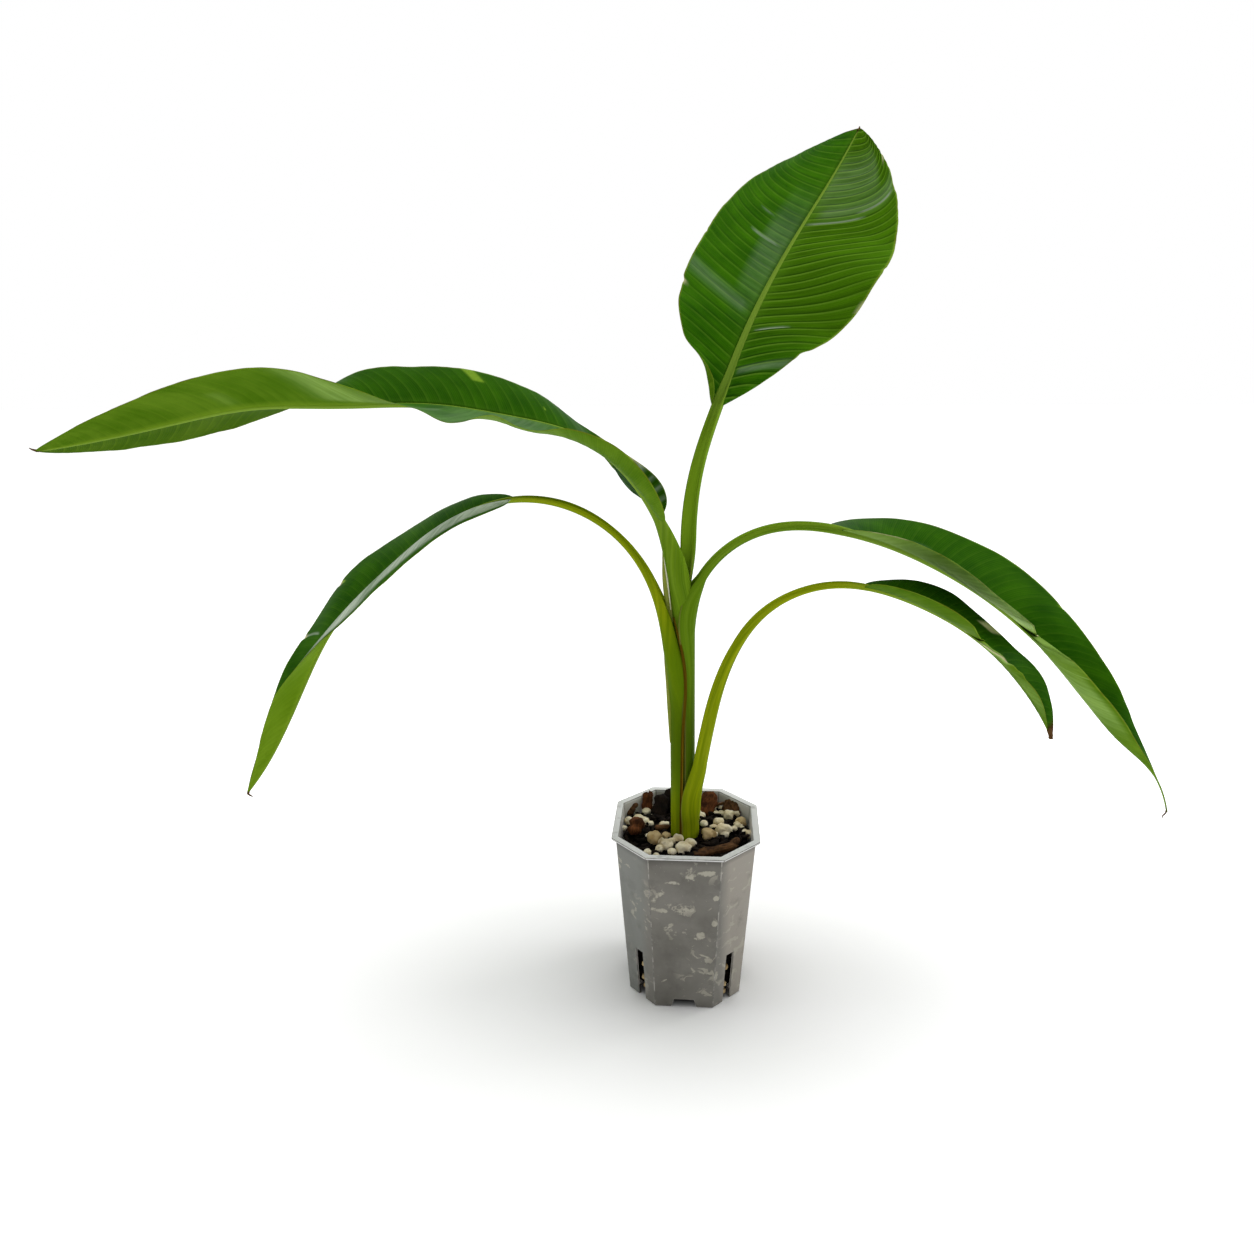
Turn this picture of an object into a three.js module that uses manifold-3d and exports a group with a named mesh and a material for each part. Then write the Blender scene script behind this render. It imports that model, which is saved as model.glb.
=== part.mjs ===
// A young banana plant in an eight-sided nursery pot. Millimetres, Z up.
// The origin is the middle of the pot's underside. The front of the pot faces -Y.
// Five leaves leave one stem of rolled sheaths, and each is named by where it goes:
// upright (top), long (far left), left (drooping), right (arching) and small (low right).
import * as THREE from "three";
import { mergeVertices } from "three/addons/utils/BufferGeometryUtils.js";
import Module from "manifold-3d";

const wasm = await Module();
wasm.setup();

// Driving sizes
const gap = 0.3;              // clearance between neighbouring pieces
const potHeight = 123.6;
const rimHalf = 50;           // half the width across the flats, at the rim's edge
const bodyTopHalf = 47;       // the same, just under the rim
const bodyFootHalf = 38.85;   // the same, where the pot stands
const flatShare = 0.515;      // length of a flat side as a share of the width
const rimDepth = 2.6;
const wall = 2.2;
const floorLow = 6;
const floorHigh = 8;
const centreFootRadius = 10;
const slot = { width: 4.6, height: 39.5, near: 36.5, far: 52 };
const notch = { top: 13.8, bottom: 17.8, height: 6 };
const soilEdge = 113.6;       // height of the growing medium at the pot's wall
const stemFoot = 100;         // flat cut of the stem, sunk in the growing medium
const stemTop = 262;
const stemRadius = 8.3;       // outside of the sheaths that form the stem
const coreRadius = 5.5;
const stalkWrap = 110;        // a free stalk's round back reaches this many degrees to each side
const nestReach = 70;         // how far out along a stalk its neighbours make room for it
const ribTip = 0.9;           // half width of the midrib at a leaf's tip
const bladeStep = 14;         // spacing of the stations along a blade and a stalk
const acrossHalf = 4;         // steps from the midrib to the margin

// Each leaf: where its midline leaves the stem, how long it is, its pitch (90 is straight up)
// and heading (0 is +X, 90 is away from the front) at equal steps along it, and its two halves.
// fold is the angle of a half blade above level, at equal steps from the blade's base to its tip.
// stalk: the stretch of the midline, in mm, along which the sheath leaves the stem, the radius of
// its round back at equal steps of that stretch and then on to the blade, and how far it wraps.
const leaves = {
  upright: {
    foot: [0, 4, 313], length: 341, pitch: [94, 55, 54, 47, 44, 50], heading: [72, 53, 50],
    bladeStart: 0.295, thickness: 2.5,
    left: { width: 68, base: 0.7, tip: 0.4, fold: [60, 45, 23, 14, 11, 6, -8] },
    right: { width: 65, base: 1, tip: 0.8, fold: [-26, -21, -40, -24, -34, -31, -30] },
    stalk: {
      bottom: stemTop + gap, leave: [-40, 10], wall: 4, wrap: [-110, 110],
      sheath: [3.5, 3.6, 3.8, 4.1, 4.3], petiole: [4.3, 4.3, 4.2, 4, 3.9],
    },
  },
  long: {
    foot: [-4, 0, 284], length: 445, pitch: [86, 67, 45, 16, 10, -1, 1, -11, -11, -7], heading: [193, 190, 193],
    bladeStart: 0.125, thickness: 2.6,
    left: { width: 47, base: 0.4, tip: 0.8, fold: [5, 10, 9, 2, -1, 5, 23, 38, 43, 49, 54, 49] },
    right: { width: 45, base: 0.5, tip: 0.7, fold: [60, 14, 5, 20, 26, 25, 21, -9, -19, -25, -27, -28] },
    stalk: {
      bottom: stemTop + gap, leave: [-22, 14], wall: 1.5, wrap: [-130, 130],
      sheath: [5.4, 5.9, 6.4, 6.8, 6.8], petiole: [6.8, 5.7, 4.8, 4.4, 4.2],
    },
  },
  left: {
    foot: [-5, -3, 215], length: 518, pitch: [85, 73, 37, -6, -36, -43, -60, -60, -49], heading: [176, 175, 173],
    bladeStart: 0.375, thickness: 2.2,
    left: { width: 39, base: 0.4, tip: 0.9, fold: [-6, -10, -12, -13, 0, 20, 28, 33] },
    right: { width: 40, base: 0.7, tip: 0.8, fold: [15, 16, 22, 31, 34, 51, 57, 60] },
    stalk: {
      bottom: stemFoot, leave: [-10, 42], wall: 2.4, wrap: [-82, 98],
      sheath: [stemRadius, 8.4, 8.1, 6.2, 4], petiole: [4, 3.7, 3, 3.1, 2.7],
    },
  },
  right: {
    foot: [0, 1, 256], length: 480, pitch: [99, 46, -2, -22, -33, -43, -49, -44, -74], heading: [5, 7, 11],
    bladeStart: 0.3, thickness: 2.2,
    left: { width: 44, base: 0.2, tip: 0.8, fold: [-7, 18, 36, 52, 63, 75, 43, 17] },
    right: { width: 45, base: 0.5, tip: 1, fold: [18, 15, 5, 3, 5, 9, -7, -40] },
    stalk: {
      bottom: stemFoot, leave: [5, 44], wall: 2.4, wrap: [-85, 80],
      sheath: [stemRadius, 8.6, 8.4, 6.8, 4], petiole: [4, 3.6, 3.5, 3.6, 3.8],
    },
  },
  small: {
    foot: [5, -6, 122], length: 388, pitch: [90, 81, 77, 60, 24, -13, -30, -48, -64], heading: [-35, -7, -12],
    bladeStart: 0.605, thickness: 2,
    left: { width: 29, base: 0.6, tip: 0.7, fold: [-5, 8, 12, 9, 17, 35, 31] },
    right: { width: 29, base: 0.5, tip: 0.8, fold: [29, 26, 23, 16, 17, 24, 14] },
    stalk: {
      bottom: stemFoot, leave: [0, 50], wall: 2.4, wrap: [-57, 57],
      sheath: [11.3, 11.2, 9, 6.2, 4.4], petiole: [4.4, 4.2, 3.6, 2.5, 2.5],
    },
  },
};

// Stones lying on the growing medium: [x, y, radius]
const stones = [
  [-41, 14.3, 3], [-34.6, 18.2, 3.5], [-29.6, 12, 3.3], [-21.3, -13.5, 4.9], [-13.6, -8.6, 3],
  [-13.3, -19.5, 4], [-5.4, -13, 3.4], [3.4, -15.6, 3.5], [-1.2, -23.6, 4.6], [15.6, -5.2, 4.6],
  [23, 12.7, 3.6], [26.2, 2, 4.6], [30.7, 26, 3.6], [38.6, 17, 3.6],
];
// Bark chips: [x, y, length, width, thickness, turn about the upright, lean], angles in degrees
const barkChips = [
  [-34.5, -1.5, 13, 8, 7, 70, 25], [-27, 33.5, 12, 8, 3.5, 80, 65], [-12.5, 37, 14, 9, 4, 10, 55],
  [14, 35, 17, 11, 4, -20, 50], [21, -23.5, 26, 6.5, 4.5, 14, 6], [29, 33.5, 8, 6, 4, -40, 25],
];

const colours = {
  pot: new THREE.MeshStandardMaterial({ color: 0x75756e, roughness: 0.62 }),
  medium: new THREE.MeshStandardMaterial({ color: 0x1e1712, roughness: 0.95 }),
  stone: new THREE.MeshStandardMaterial({ color: 0xcfc3a6, roughness: 0.9 }),
  bark: new THREE.MeshStandardMaterial({ color: 0x3f2617, roughness: 0.9 }),
  stalk: new THREE.MeshStandardMaterial({ color: 0x6c8c1c, roughness: 0.45 }),
  blade: new THREE.MeshStandardMaterial({ color: 0x2f6a12, roughness: 0.4, side: THREE.DoubleSide }),
};

const plant = new THREE.Group();
const { cos, sin, sign, min, max, abs, hypot, atan2, ceil, PI } = Math;
const mix = (a, b, share) => a + (b - a) * share;
const smooth = (share) => {
  const s = min(max(share, 0), 1);
  return s * s * (3 - 2 * s);
};

// A value read smoothly from a table whose entries lie at equal steps.
function along(table, share) {
  const last = table.length - 1;
  const place = min(max(share, 0), 1) * last;
  const i = min(Math.floor(place), last - 1);
  const f = place - i;
  const [b, c] = [table[i], table[i + 1]];
  const a = i > 0 ? table[i - 1] : 2 * b - c;
  const d = i + 2 <= last ? table[i + 2] : 2 * c - b;
  return 0.5 * (2 * b + (c - a) * f + (2 * a - 5 * b + 4 * c - d) * f * f + (3 * b - a - 3 * c + d) * f ** 3);
}

// A closed solid through rings of equal point count, with flat ends.
// outlines are the same rings in their own plane, from which the ends are filled.
function loft(rings, outlines) {
  const count = rings[0].length;
  const points = rings.flat().flatMap((p) => [p.x, p.y, p.z]);
  const faces = [];
  for (let r = 0; r + 1 < rings.length; r += 1) {
    for (let i = 0; i < count; i += 1) {
      const a = r * count + i;
      const b = r * count + ((i + 1) % count);
      faces.push(a, b, b + count, a, b + count, a + count);
    }
  }
  const top = (rings.length - 1) * count;
  for (const [a, b, c] of THREE.ShapeUtils.triangulateShape(outlines[0], [])) faces.push(a, c, b);
  for (const [a, b, c] of THREE.ShapeUtils.triangulateShape(outlines[outlines.length - 1], [])) {
    faces.push(top + a, top + b, top + c);
  }
  const geometry = new THREE.BufferGeometry();
  geometry.setAttribute("position", new THREE.Float32BufferAttribute(points, 3));
  geometry.setIndex(faces);
  return geometry;
}

// Level rings, given as arrays of [x, y] and a height for each.
function levelLoft(outlines, heights) {
  const flat = outlines.map((outline) => outline.map(([x, y]) => new THREE.Vector2(x, y)));
  const rings = flat.map((outline, i) => outline.map((p) => new THREE.Vector3(p.x, p.y, heights[i])));
  return loft(rings, flat);
}

function toSolid(geometry) {
  const plain = geometry.clone();
  plain.deleteAttribute("normal");
  plain.deleteAttribute("uv");
  const merged = mergeVertices(plain, 1e-4);
  const vertProperties = new Float32Array(merged.attributes.position.array);
  const triVerts = new Uint32Array(merged.index.array);
  return new wasm.Manifold(new wasm.Mesh({ numProp: 3, vertProperties, triVerts }));
}

function toGeometry(solid) {
  const mesh = solid.getMesh();
  const geometry = new THREE.BufferGeometry();
  geometry.setAttribute("position", new THREE.Float32BufferAttribute(mesh.vertProperties, 3));
  geometry.setIndex(Array.from(mesh.triVerts));
  return geometry;
}

function addNode(name, geometry, material) {
  geometry.computeVertexNormals();
  const mesh = new THREE.Mesh(geometry, material);
  mesh.name = name;
  plant.add(mesh);
}

// Pot
const octagon = (half) => {
  const short = half * flatShare;
  return [
    [half, -short], [half, short], [short, half], [-short, half],
    [-half, short], [-half, -short], [-short, -half], [short, -half],
  ];
};
const bodyHalf = (z) => mix(bodyFootHalf, bodyTopHalf, z / (potHeight - rimDepth));

function makePot() {
  const rimLow = potHeight - rimDepth;
  const over = 1;
  const block = (sizes, z) => new THREE.BoxGeometry(...sizes).translate(0, 0, z);
  let pot = toSolid(levelLoft([octagon(bodyFootHalf), octagon(bodyTopHalf)], [0, rimLow]));
  pot = pot.add(toSolid(levelLoft([octagon(rimHalf - 0.4), octagon(rimHalf)], [rimLow - 0.2, potHeight])));
  const inside = [octagon(bodyHalf(floorHigh) - wall), octagon(bodyHalf(potHeight + over) - wall)];
  pot = pot.subtract(toSolid(levelLoft(inside, [floorHigh, potHeight + over])));
  const under = [octagon(bodyHalf(-over) - wall), octagon(bodyHalf(floorLow) - wall)];
  pot = pot.subtract(toSolid(levelLoft(under, [-over, floorLow])));
  const foot = new THREE.CylinderGeometry(centreFootRadius + 2, centreFootRadius, floorLow + over, 24);
  pot = pot.add(toSolid(foot.rotateX(PI / 2).translate(0, 0, (floorLow + over) / 2)));
  for (let side = 0; side < 4; side += 1) {
    const turn = (side * PI) / 2;
    const cut = block([slot.far - slot.near, slot.width, slot.height + over], (slot.height - over) / 2);
    cut.translate((slot.near + slot.far) / 2, 0, 0).rotateZ(turn + PI / 4);
    const shape = new THREE.Shape([
      new THREE.Vector2(-notch.bottom / 2, -over), new THREE.Vector2(notch.bottom / 2, -over),
      new THREE.Vector2(notch.top / 2, notch.height), new THREE.Vector2(-notch.top / 2, notch.height),
    ]);
    const trough = new THREE.ExtrudeGeometry(shape, { depth: 10, bevelEnabled: false });
    trough.rotateX(PI / 2).translate(0, -bodyFootHalf + 6, 0).rotateZ(turn);
    pot = pot.subtract(toSolid(cut)).subtract(toSolid(trough));
  }
  addNode("pot", toGeometry(pot), colours.pot);
}

// Midline of a leaf: its points, and the frames that its sections stand in.
function midline(leaf) {
  const steps = 240;
  const at = [new THREE.Vector3(...leaf.foot)];
  const direction = (share) => {
    const pitch = THREE.MathUtils.degToRad(along(leaf.pitch, share));
    const heading = THREE.MathUtils.degToRad(along(leaf.heading, share));
    return new THREE.Vector3(cos(pitch) * cos(heading), cos(pitch) * sin(heading), sin(pitch));
  };
  for (let i = 0; i < steps; i += 1) {
    at.push(at[i].clone().addScaledVector(direction((i + 0.5) / steps), leaf.length / steps));
  }
  const point = (mm) => {
    if (mm <= 0) return at[0].clone().addScaledVector(direction(0), mm);
    const place = min((mm / leaf.length) * steps, steps - 1e-6);
    const i = Math.floor(place);
    return at[i].clone().lerp(at[i + 1], place - i);
  };
  const sideways = (mm) => {
    const heading = THREE.MathUtils.degToRad(along(leaf.heading, mm / leaf.length));
    return new THREE.Vector3(-sin(heading), cos(heading), 0);
  };
  return { point, sideways, direction: (mm) => direction(mm / leaf.length) };
}

// The stem's own axis leans a little to the left as it rises.
const stemAxis = (z) => new THREE.Vector3(mix(-2.2, -3.8, (z - 105) / 195), mix(0, 0.5, (z - 105) / 195), z);

// Places a flat outline in the plane of a station.
function place(outline, centre, side, up) {
  return outline.map((p) => centre.clone().addScaledVector(side, p.x).addScaledVector(up, p.y));
}

// Section of a sheath or leaf stalk: a round back, and a hollow front that faces the stem.
function stalkOutline(radius, thick, edge, wrap) {
  const outerSteps = 9;
  const innerSteps = 5;
  const [first, last] = wrap.map(THREE.MathUtils.degToRad);
  const round = (r, angle) => new THREE.Vector2(r * sin(angle), -r * cos(angle));
  const outline = [];
  for (let i = 0; i <= outerSteps; i += 1) outline.push(round(radius, mix(first, last, i / outerSteps)));
  const a = round(radius - edge, last);
  const b = round(radius - thick, (first + last) / 2);
  const c = round(radius - edge, first);
  const cross = 2 * (a.x * (b.y - c.y) + b.x * (c.y - a.y) + c.x * (a.y - b.y));
  const [aa, bb, cc] = [a, b, c].map((p) => p.lengthSq());
  const middle = new THREE.Vector2(
    (aa * (b.y - c.y) + bb * (c.y - a.y) + cc * (a.y - b.y)) / cross,
    (aa * (c.x - b.x) + bb * (a.x - c.x) + cc * (b.x - a.x)) / cross,
  );
  const start = atan2(a.y - middle.y, a.x - middle.x);
  let sweep = atan2(c.y - middle.y, c.x - middle.x) - start;
  while (sweep > 0) sweep -= 2 * PI;
  const reach = middle.distanceTo(a);
  for (let i = 0; i <= innerSteps; i += 1) {
    const angle = start + (sweep * i) / innerSteps;
    outline.push(new THREE.Vector2(middle.x + reach * cos(angle), middle.y + reach * sin(angle)));
  }
  return outline;
}

// One station of a sheath and stalk, mm along the midline, below zero in the stem.
// grow is the clearance added all round it, for the space that it takes out of a neighbour.
function stalkStation(leaf, line, mm, grow) {
  const { leave, sheath, petiole, wrap } = leaf.stalk;
  const bladeAt = leaf.bladeStart * leaf.length;
  const leaving = (d) => (d - leave[0]) / (leave[1] - leave[0]);
  const centreAt = (d) => {
    const own = line.point(d);
    return stemAxis(own.z).lerp(own, smooth(leaving(d)));
  };
  const centre = centreAt(mm);
  const forward = centreAt(mm + 1).sub(centreAt(mm - 1)).normalize();
  const side = line.sideways(max(mm, 0));
  side.addScaledVector(forward, -side.dot(forward)).normalize();
  const up = forward.clone().cross(side);
  const left = smooth(leaving(mm));
  const onStalk = mm > leave[1];
  const radius = onStalk ? along(petiole, (mm - leave[1]) / (bladeAt - leave[1])) : along(sheath, leaving(mm));
  const thick = mix(leaf.stalk.wall, radius * 1.1, left) + 2 * grow;
  const edge = min(0.28 * radius, 1.1) + 2 * grow;
  const spread = THREE.MathUtils.radToDeg(grow / radius);
  const arc = wrap.map((angle) => mix(angle, sign(angle) * stalkWrap, left) + sign(angle) * spread);
  return { outline: stalkOutline(radius + grow, thick, edge, arc), centre, side, up };
}

function stalkPiece(leaf, from, to, grow = 0) {
  const line = midline(leaf);
  const count = max(2, ceil((to - from) / bladeStep));
  const rings = [];
  const outlines = [];
  for (let i = 0; i <= count; i += 1) {
    const { outline, centre, side, up } = stalkStation(leaf, line, mix(from, to, i / count), grow);
    outlines.push(outline);
    rings.push(place(outline, centre, side, up));
  }
  return loft(rings, outlines);
}

// Share of a half blade's full width at a place between its base (0) and tip (1).
function widthShare(place, base, tip) {
  const widest = base / (base + tip);
  return (place / widest) ** base * ((1 - place) / (1 - widest)) ** tip;
}

// Section of a blade: two thin folded halves on a rounded midrib.
function bladeOutline(leaf, share) {
  const here = min(max((share - leaf.bladeStart) / (1 - leaf.bladeStart), 0.004), 0.985);
  const rib = mix(leaf.stalk.petiole[4], ribTip, here ** 0.8);
  const half = (side, data) => {
    const fold = THREE.MathUtils.degToRad(along(data.fold, here));
    const reach = max(data.width * widthShare(here, data.base, data.tip), 1.2);
    const thick = leaf.thickness / 2;
    const upper = [];
    const lower = [];
    for (let i = 0; i <= acrossHalf; i += 1) {
      const out = (reach * i) / acrossHalf;
      const x = rib * 0.9 + out * cos(fold);
      const y = out * sin(fold);
      upper.push(new THREE.Vector2(side * (x - thick * sin(fold)), y + thick * cos(fold)));
      lower.push(new THREE.Vector2(side * (x + thick * sin(fold)), y - thick * cos(fold)));
    }
    return { upper, lower };
  };
  const left = half(1, leaf.left);
  const right = half(-1, leaf.right);
  const keel = [-40, 0, 40].map((angle) => {
    const turn = THREE.MathUtils.degToRad(angle);
    const depth = rib + leaf.thickness / 2;
    return new THREE.Vector2(depth * sin(turn), -depth * cos(turn));
  });
  return [
    ...right.lower.reverse(), ...keel, ...left.lower,
    ...left.upper.reverse(), new THREE.Vector2(0, leaf.thickness * 0.3), ...right.upper,
  ];
}

function bladePiece(leaf, from, to) {
  const line = midline(leaf);
  const count = ceil(((to - from) * leaf.length) / bladeStep);
  const rings = [];
  const outlines = [];
  for (let i = 0; i <= count; i += 1) {
    const share = mix(from, to, i / count);
    const mm = share * leaf.length;
    const side = line.sideways(mm);
    const up = line.direction(mm).cross(side);
    const outline = bladeOutline(leaf, share);
    outlines.push(outline);
    rings.push(place(outline, line.point(mm), side, up));
  }
  return loft(rings, outlines);
}

// Pieces of each leaf: the stalk in mm along the midline, the blade as shares of the leaf's length.
const cuts = {
  upright: { stalks: { petiole: [null, null] }, blades: { blade: [null, 1] } },
  long: { stalks: { petiole: [null, null] }, blades: { blade_inner: [null, 0.4], blade_outer: [0.4, 1] } },
  left: {
    stalks: { sheath: [null, 20], petiole_lower: [20, 125], petiole_upper: [125, null] },
    blades: { blade_inner: [null, 0.66], blade_outer: [0.66, 1] },
  },
  right: {
    stalks: { sheath: [null, 15], petiole_lower: [15, 80], petiole_upper: [80, null] },
    blades: { blade_inner: [null, 0.62], blade_outer: [0.62, 1] },
  },
  small: {
    stalks: { sheath: [null, 45], petiole_lower: [45, 150], petiole_upper: [150, null] },
    blades: { blade: [null, 1] },
  },
};

// Where stalks lie inside one another, the outer one makes room for those that it is listed with.
const nested = { core: ["left", "right"], long: ["upright", "right"], small: ["right"] };
const spaceOf = (name) => {
  const leaf = leaves[name];
  return toSolid(stalkPiece(leaf, leaf.stalk.bottom - leaf.foot[2] - 1, nestReach, gap));
};

function makeLeaves() {
  for (const [name, leaf] of Object.entries(leaves)) {
    const bladeAt = leaf.bladeStart * leaf.length;
    for (const [kind, [from, to]] of Object.entries(cuts[name].stalks)) {
      const start = from === null ? leaf.stalk.bottom - leaf.foot[2] : from + gap;
      const end = to === null ? bladeAt - gap : to;
      let stalk = toSolid(stalkPiece(leaf, start, end));
      for (const neighbour of nested[name] ?? []) stalk = stalk.subtract(spaceOf(neighbour));
      addNode(`${name}_${kind}`, toGeometry(stalk), colours.stalk);
    }
    for (const [kind, [from, to]] of Object.entries(cuts[name].blades)) {
      const start = from === null ? leaf.bladeStart : from + gap / leaf.length;
      addNode(`${name}_${kind}`, bladePiece(leaf, start, to), colours.blade);
    }
  }
}

// The innermost sheaths, rolled into one round core up to the fork of the two top leaves.
function circle(centre, radius, sides) {
  return Array.from({ length: sides }, (unused, i) => {
    const angle = (2 * PI * i) / sides;
    return [centre.x + radius * cos(angle), centre.y + radius * sin(angle)];
  });
}
function makeStemCore() {
  const heights = [stemFoot, 120, 160, 200, 230, stemTop];
  const outlines = heights.map((z) => circle(stemAxis(z), coreRadius, 16));
  let core = toSolid(levelLoft(outlines, heights));
  for (const neighbour of nested.core) core = core.subtract(spaceOf(neighbour));
  addNode("stem_core", toGeometry(core), colours.stalk);
}

// Height of the growing medium's uneven top.
function soilHeight(x, y) {
  const dome = 2 * (1 - min(hypot(x, y) / 44, 1) ** 2);
  return soilEdge + dome + 0.7 * sin(x / 5.3 + 1) * cos(y / 4.7) + 0.5 * sin(x / 3.1 - y / 6.3);
}

const stoneGeometry = (x, y, radius, index, grow) => {
  const geometry = new THREE.IcosahedronGeometry(1, 1);
  geometry.deleteAttribute("normal");
  geometry.deleteAttribute("uv");
  const stone = mergeVertices(geometry, 1e-4);
  const place = stone.attributes.position;
  for (let i = 0; i < place.count; i += 1) {
    const swell = 1 + 0.09 * sin(5.1 * place.getX(i) + 3.7 * place.getY(i) + 2.9 * place.getZ(i) + index * 1.9);
    place.setXYZ(i, place.getX(i) * swell, place.getY(i) * swell, place.getZ(i) * swell);
  }
  stone.scale(radius * 1.02 + grow, radius * 0.9 + grow, radius * 0.82 + grow);
  stone.rotateZ(index * 1.3);
  return stone.translate(x, y, soilHeight(x, y) + radius * 0.3);
};

const chipGeometry = ([x, y, length, width, thick, turn, lean], index, grow) => {
  const shape = new THREE.Shape();
  const [l, w] = [length / 2 + grow, width / 2 + grow];
  shape.moveTo(-l, -w * 0.6);
  shape.lineTo(-l * 0.5, -w);
  shape.lineTo(l * 0.8, -w * 0.8);
  shape.lineTo(l, w * 0.1);
  shape.lineTo(l * 0.55, w);
  shape.lineTo(-l * 0.7, w * 0.75);
  shape.closePath();
  const depth = thick + 2 * grow;
  const chip = new THREE.ExtrudeGeometry(shape, { depth, bevelEnabled: false }).translate(0, 0, -depth / 2);
  chip.rotateY(THREE.MathUtils.degToRad(-lean)).rotateZ(THREE.MathUtils.degToRad(turn));
  return chip.translate(x, y, soilHeight(x, y) + thick * 0.25 + length * 0.3 * sin(THREE.MathUtils.degToRad(lean)));
};

// Outline of the hole that holds the stem: the round stem, and the small leaf's sheath round it.
function stemHole(z) {
  const sides = 72;
  const axis = stemAxis(z);
  const towards = leaves.small.heading[0];
  const sweep = leaves.small.stalk.wrap[1] + 6;
  return Array.from({ length: sides }, (unused, i) => {
    const angle = (360 * i) / sides - 180;
    const inSheath = abs(angle - towards) <= sweep;
    const radius = (inSheath ? leaves.small.stalk.sheath[0] : stemRadius) + gap;
    const turn = THREE.MathUtils.degToRad(angle);
    return [axis.x + radius * cos(turn), axis.y + radius * sin(turn)];
  });
}

function makeMedium() {
  const sides = 32;
  const inner = (z, share) => {
    const half = (bodyHalf(z) - wall - gap) * share;
    const corner = half * (1 + flatShare);
    return Array.from({ length: sides }, (unused, i) => {
      const angle = (2 * PI * (i + 0.5)) / sides;
      const flatReach = half / max(abs(cos(angle)), abs(sin(angle)));
      const cornerReach = corner / (abs(cos(angle)) + abs(sin(angle)));
      const reach = min(flatReach, cornerReach);
      return [reach * cos(angle), reach * sin(angle)];
    });
  };
  const bottom = floorHigh + gap;
  const shares = [1, 0.86, 0.68, 0.5, 0.32, 0.12];
  const flat = [inner(bottom, 1), inner(soilEdge - 3, 1), ...shares.slice(1).map((s) => inner(soilEdge, s))];
  const rings = flat.map((outline, i) => outline.map(([x, y]) => {
    const z = i === 0 ? bottom : i === 1 ? soilEdge - 3 : soilHeight(x, y);
    return new THREE.Vector3(x, y, z);
  }));
  const outlines = flat.map((outline) => outline.map(([x, y]) => new THREE.Vector2(x, y)));
  let medium = toSolid(loft(rings, outlines));
  const holeFoot = stemFoot - gap;
  const holeTop = soilEdge + 12;
  medium = medium.subtract(toSolid(levelLoft([stemHole(holeFoot), stemHole(holeTop)], [holeFoot, holeTop])));
  stones.forEach(([x, y, radius], i) => {
    medium = medium.subtract(toSolid(stoneGeometry(x, y, radius, i, gap)));
    addNode(`pumice_${i + 1}`, stoneGeometry(x, y, radius, i, 0), colours.stone);
  });
  barkChips.forEach((chip, i) => {
    medium = medium.subtract(toSolid(chipGeometry(chip, i, gap)));
    addNode(`bark_${i + 1}`, toGeometry(toSolid(chipGeometry(chip, i, 0))), colours.bark);
  });
  addNode("growing_medium", toGeometry(medium), colours.medium);
}

makePot();
makeMedium();
makeStemCore();
makeLeaves();

export default plant;
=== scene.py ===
# A young banana plant in an octagonal nursery pot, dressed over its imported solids.
# Metres, Z up, the front of the pot towards -Y. Leaf shapes are worked out in millimetres.
import math
import random
from functools import cached_property

import bpy
import numpy as np
from bpy.props import FloatProperty, FloatVectorProperty, IntProperty, PointerProperty
from mathutils import Matrix, Vector, noise


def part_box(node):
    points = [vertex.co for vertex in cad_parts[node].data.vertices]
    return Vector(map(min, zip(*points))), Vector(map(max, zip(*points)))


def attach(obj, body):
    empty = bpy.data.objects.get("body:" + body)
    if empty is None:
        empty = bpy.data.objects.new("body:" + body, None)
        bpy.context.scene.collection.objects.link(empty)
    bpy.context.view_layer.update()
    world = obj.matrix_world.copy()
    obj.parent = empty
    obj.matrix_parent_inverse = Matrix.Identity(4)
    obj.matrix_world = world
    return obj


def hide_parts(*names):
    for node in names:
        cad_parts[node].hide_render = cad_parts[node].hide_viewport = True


bl_info = {
    "name": "Potted Banana Plant",
    "version": (1, 0, 0),
    "blender": (4, 5, 0),
    "location": "View3D > Sidebar > Plant",
    "description": "Builds a young banana plant in an octagonal nursery pot",
    "category": "Add Mesh",
}

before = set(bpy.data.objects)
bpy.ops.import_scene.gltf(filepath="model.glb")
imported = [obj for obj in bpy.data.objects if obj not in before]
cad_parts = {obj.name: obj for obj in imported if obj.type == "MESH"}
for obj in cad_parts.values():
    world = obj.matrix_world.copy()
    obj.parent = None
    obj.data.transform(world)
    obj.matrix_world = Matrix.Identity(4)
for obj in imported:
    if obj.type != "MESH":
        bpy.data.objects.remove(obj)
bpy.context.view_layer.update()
pot_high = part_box("pot")[1]
MM = 0.001

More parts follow.
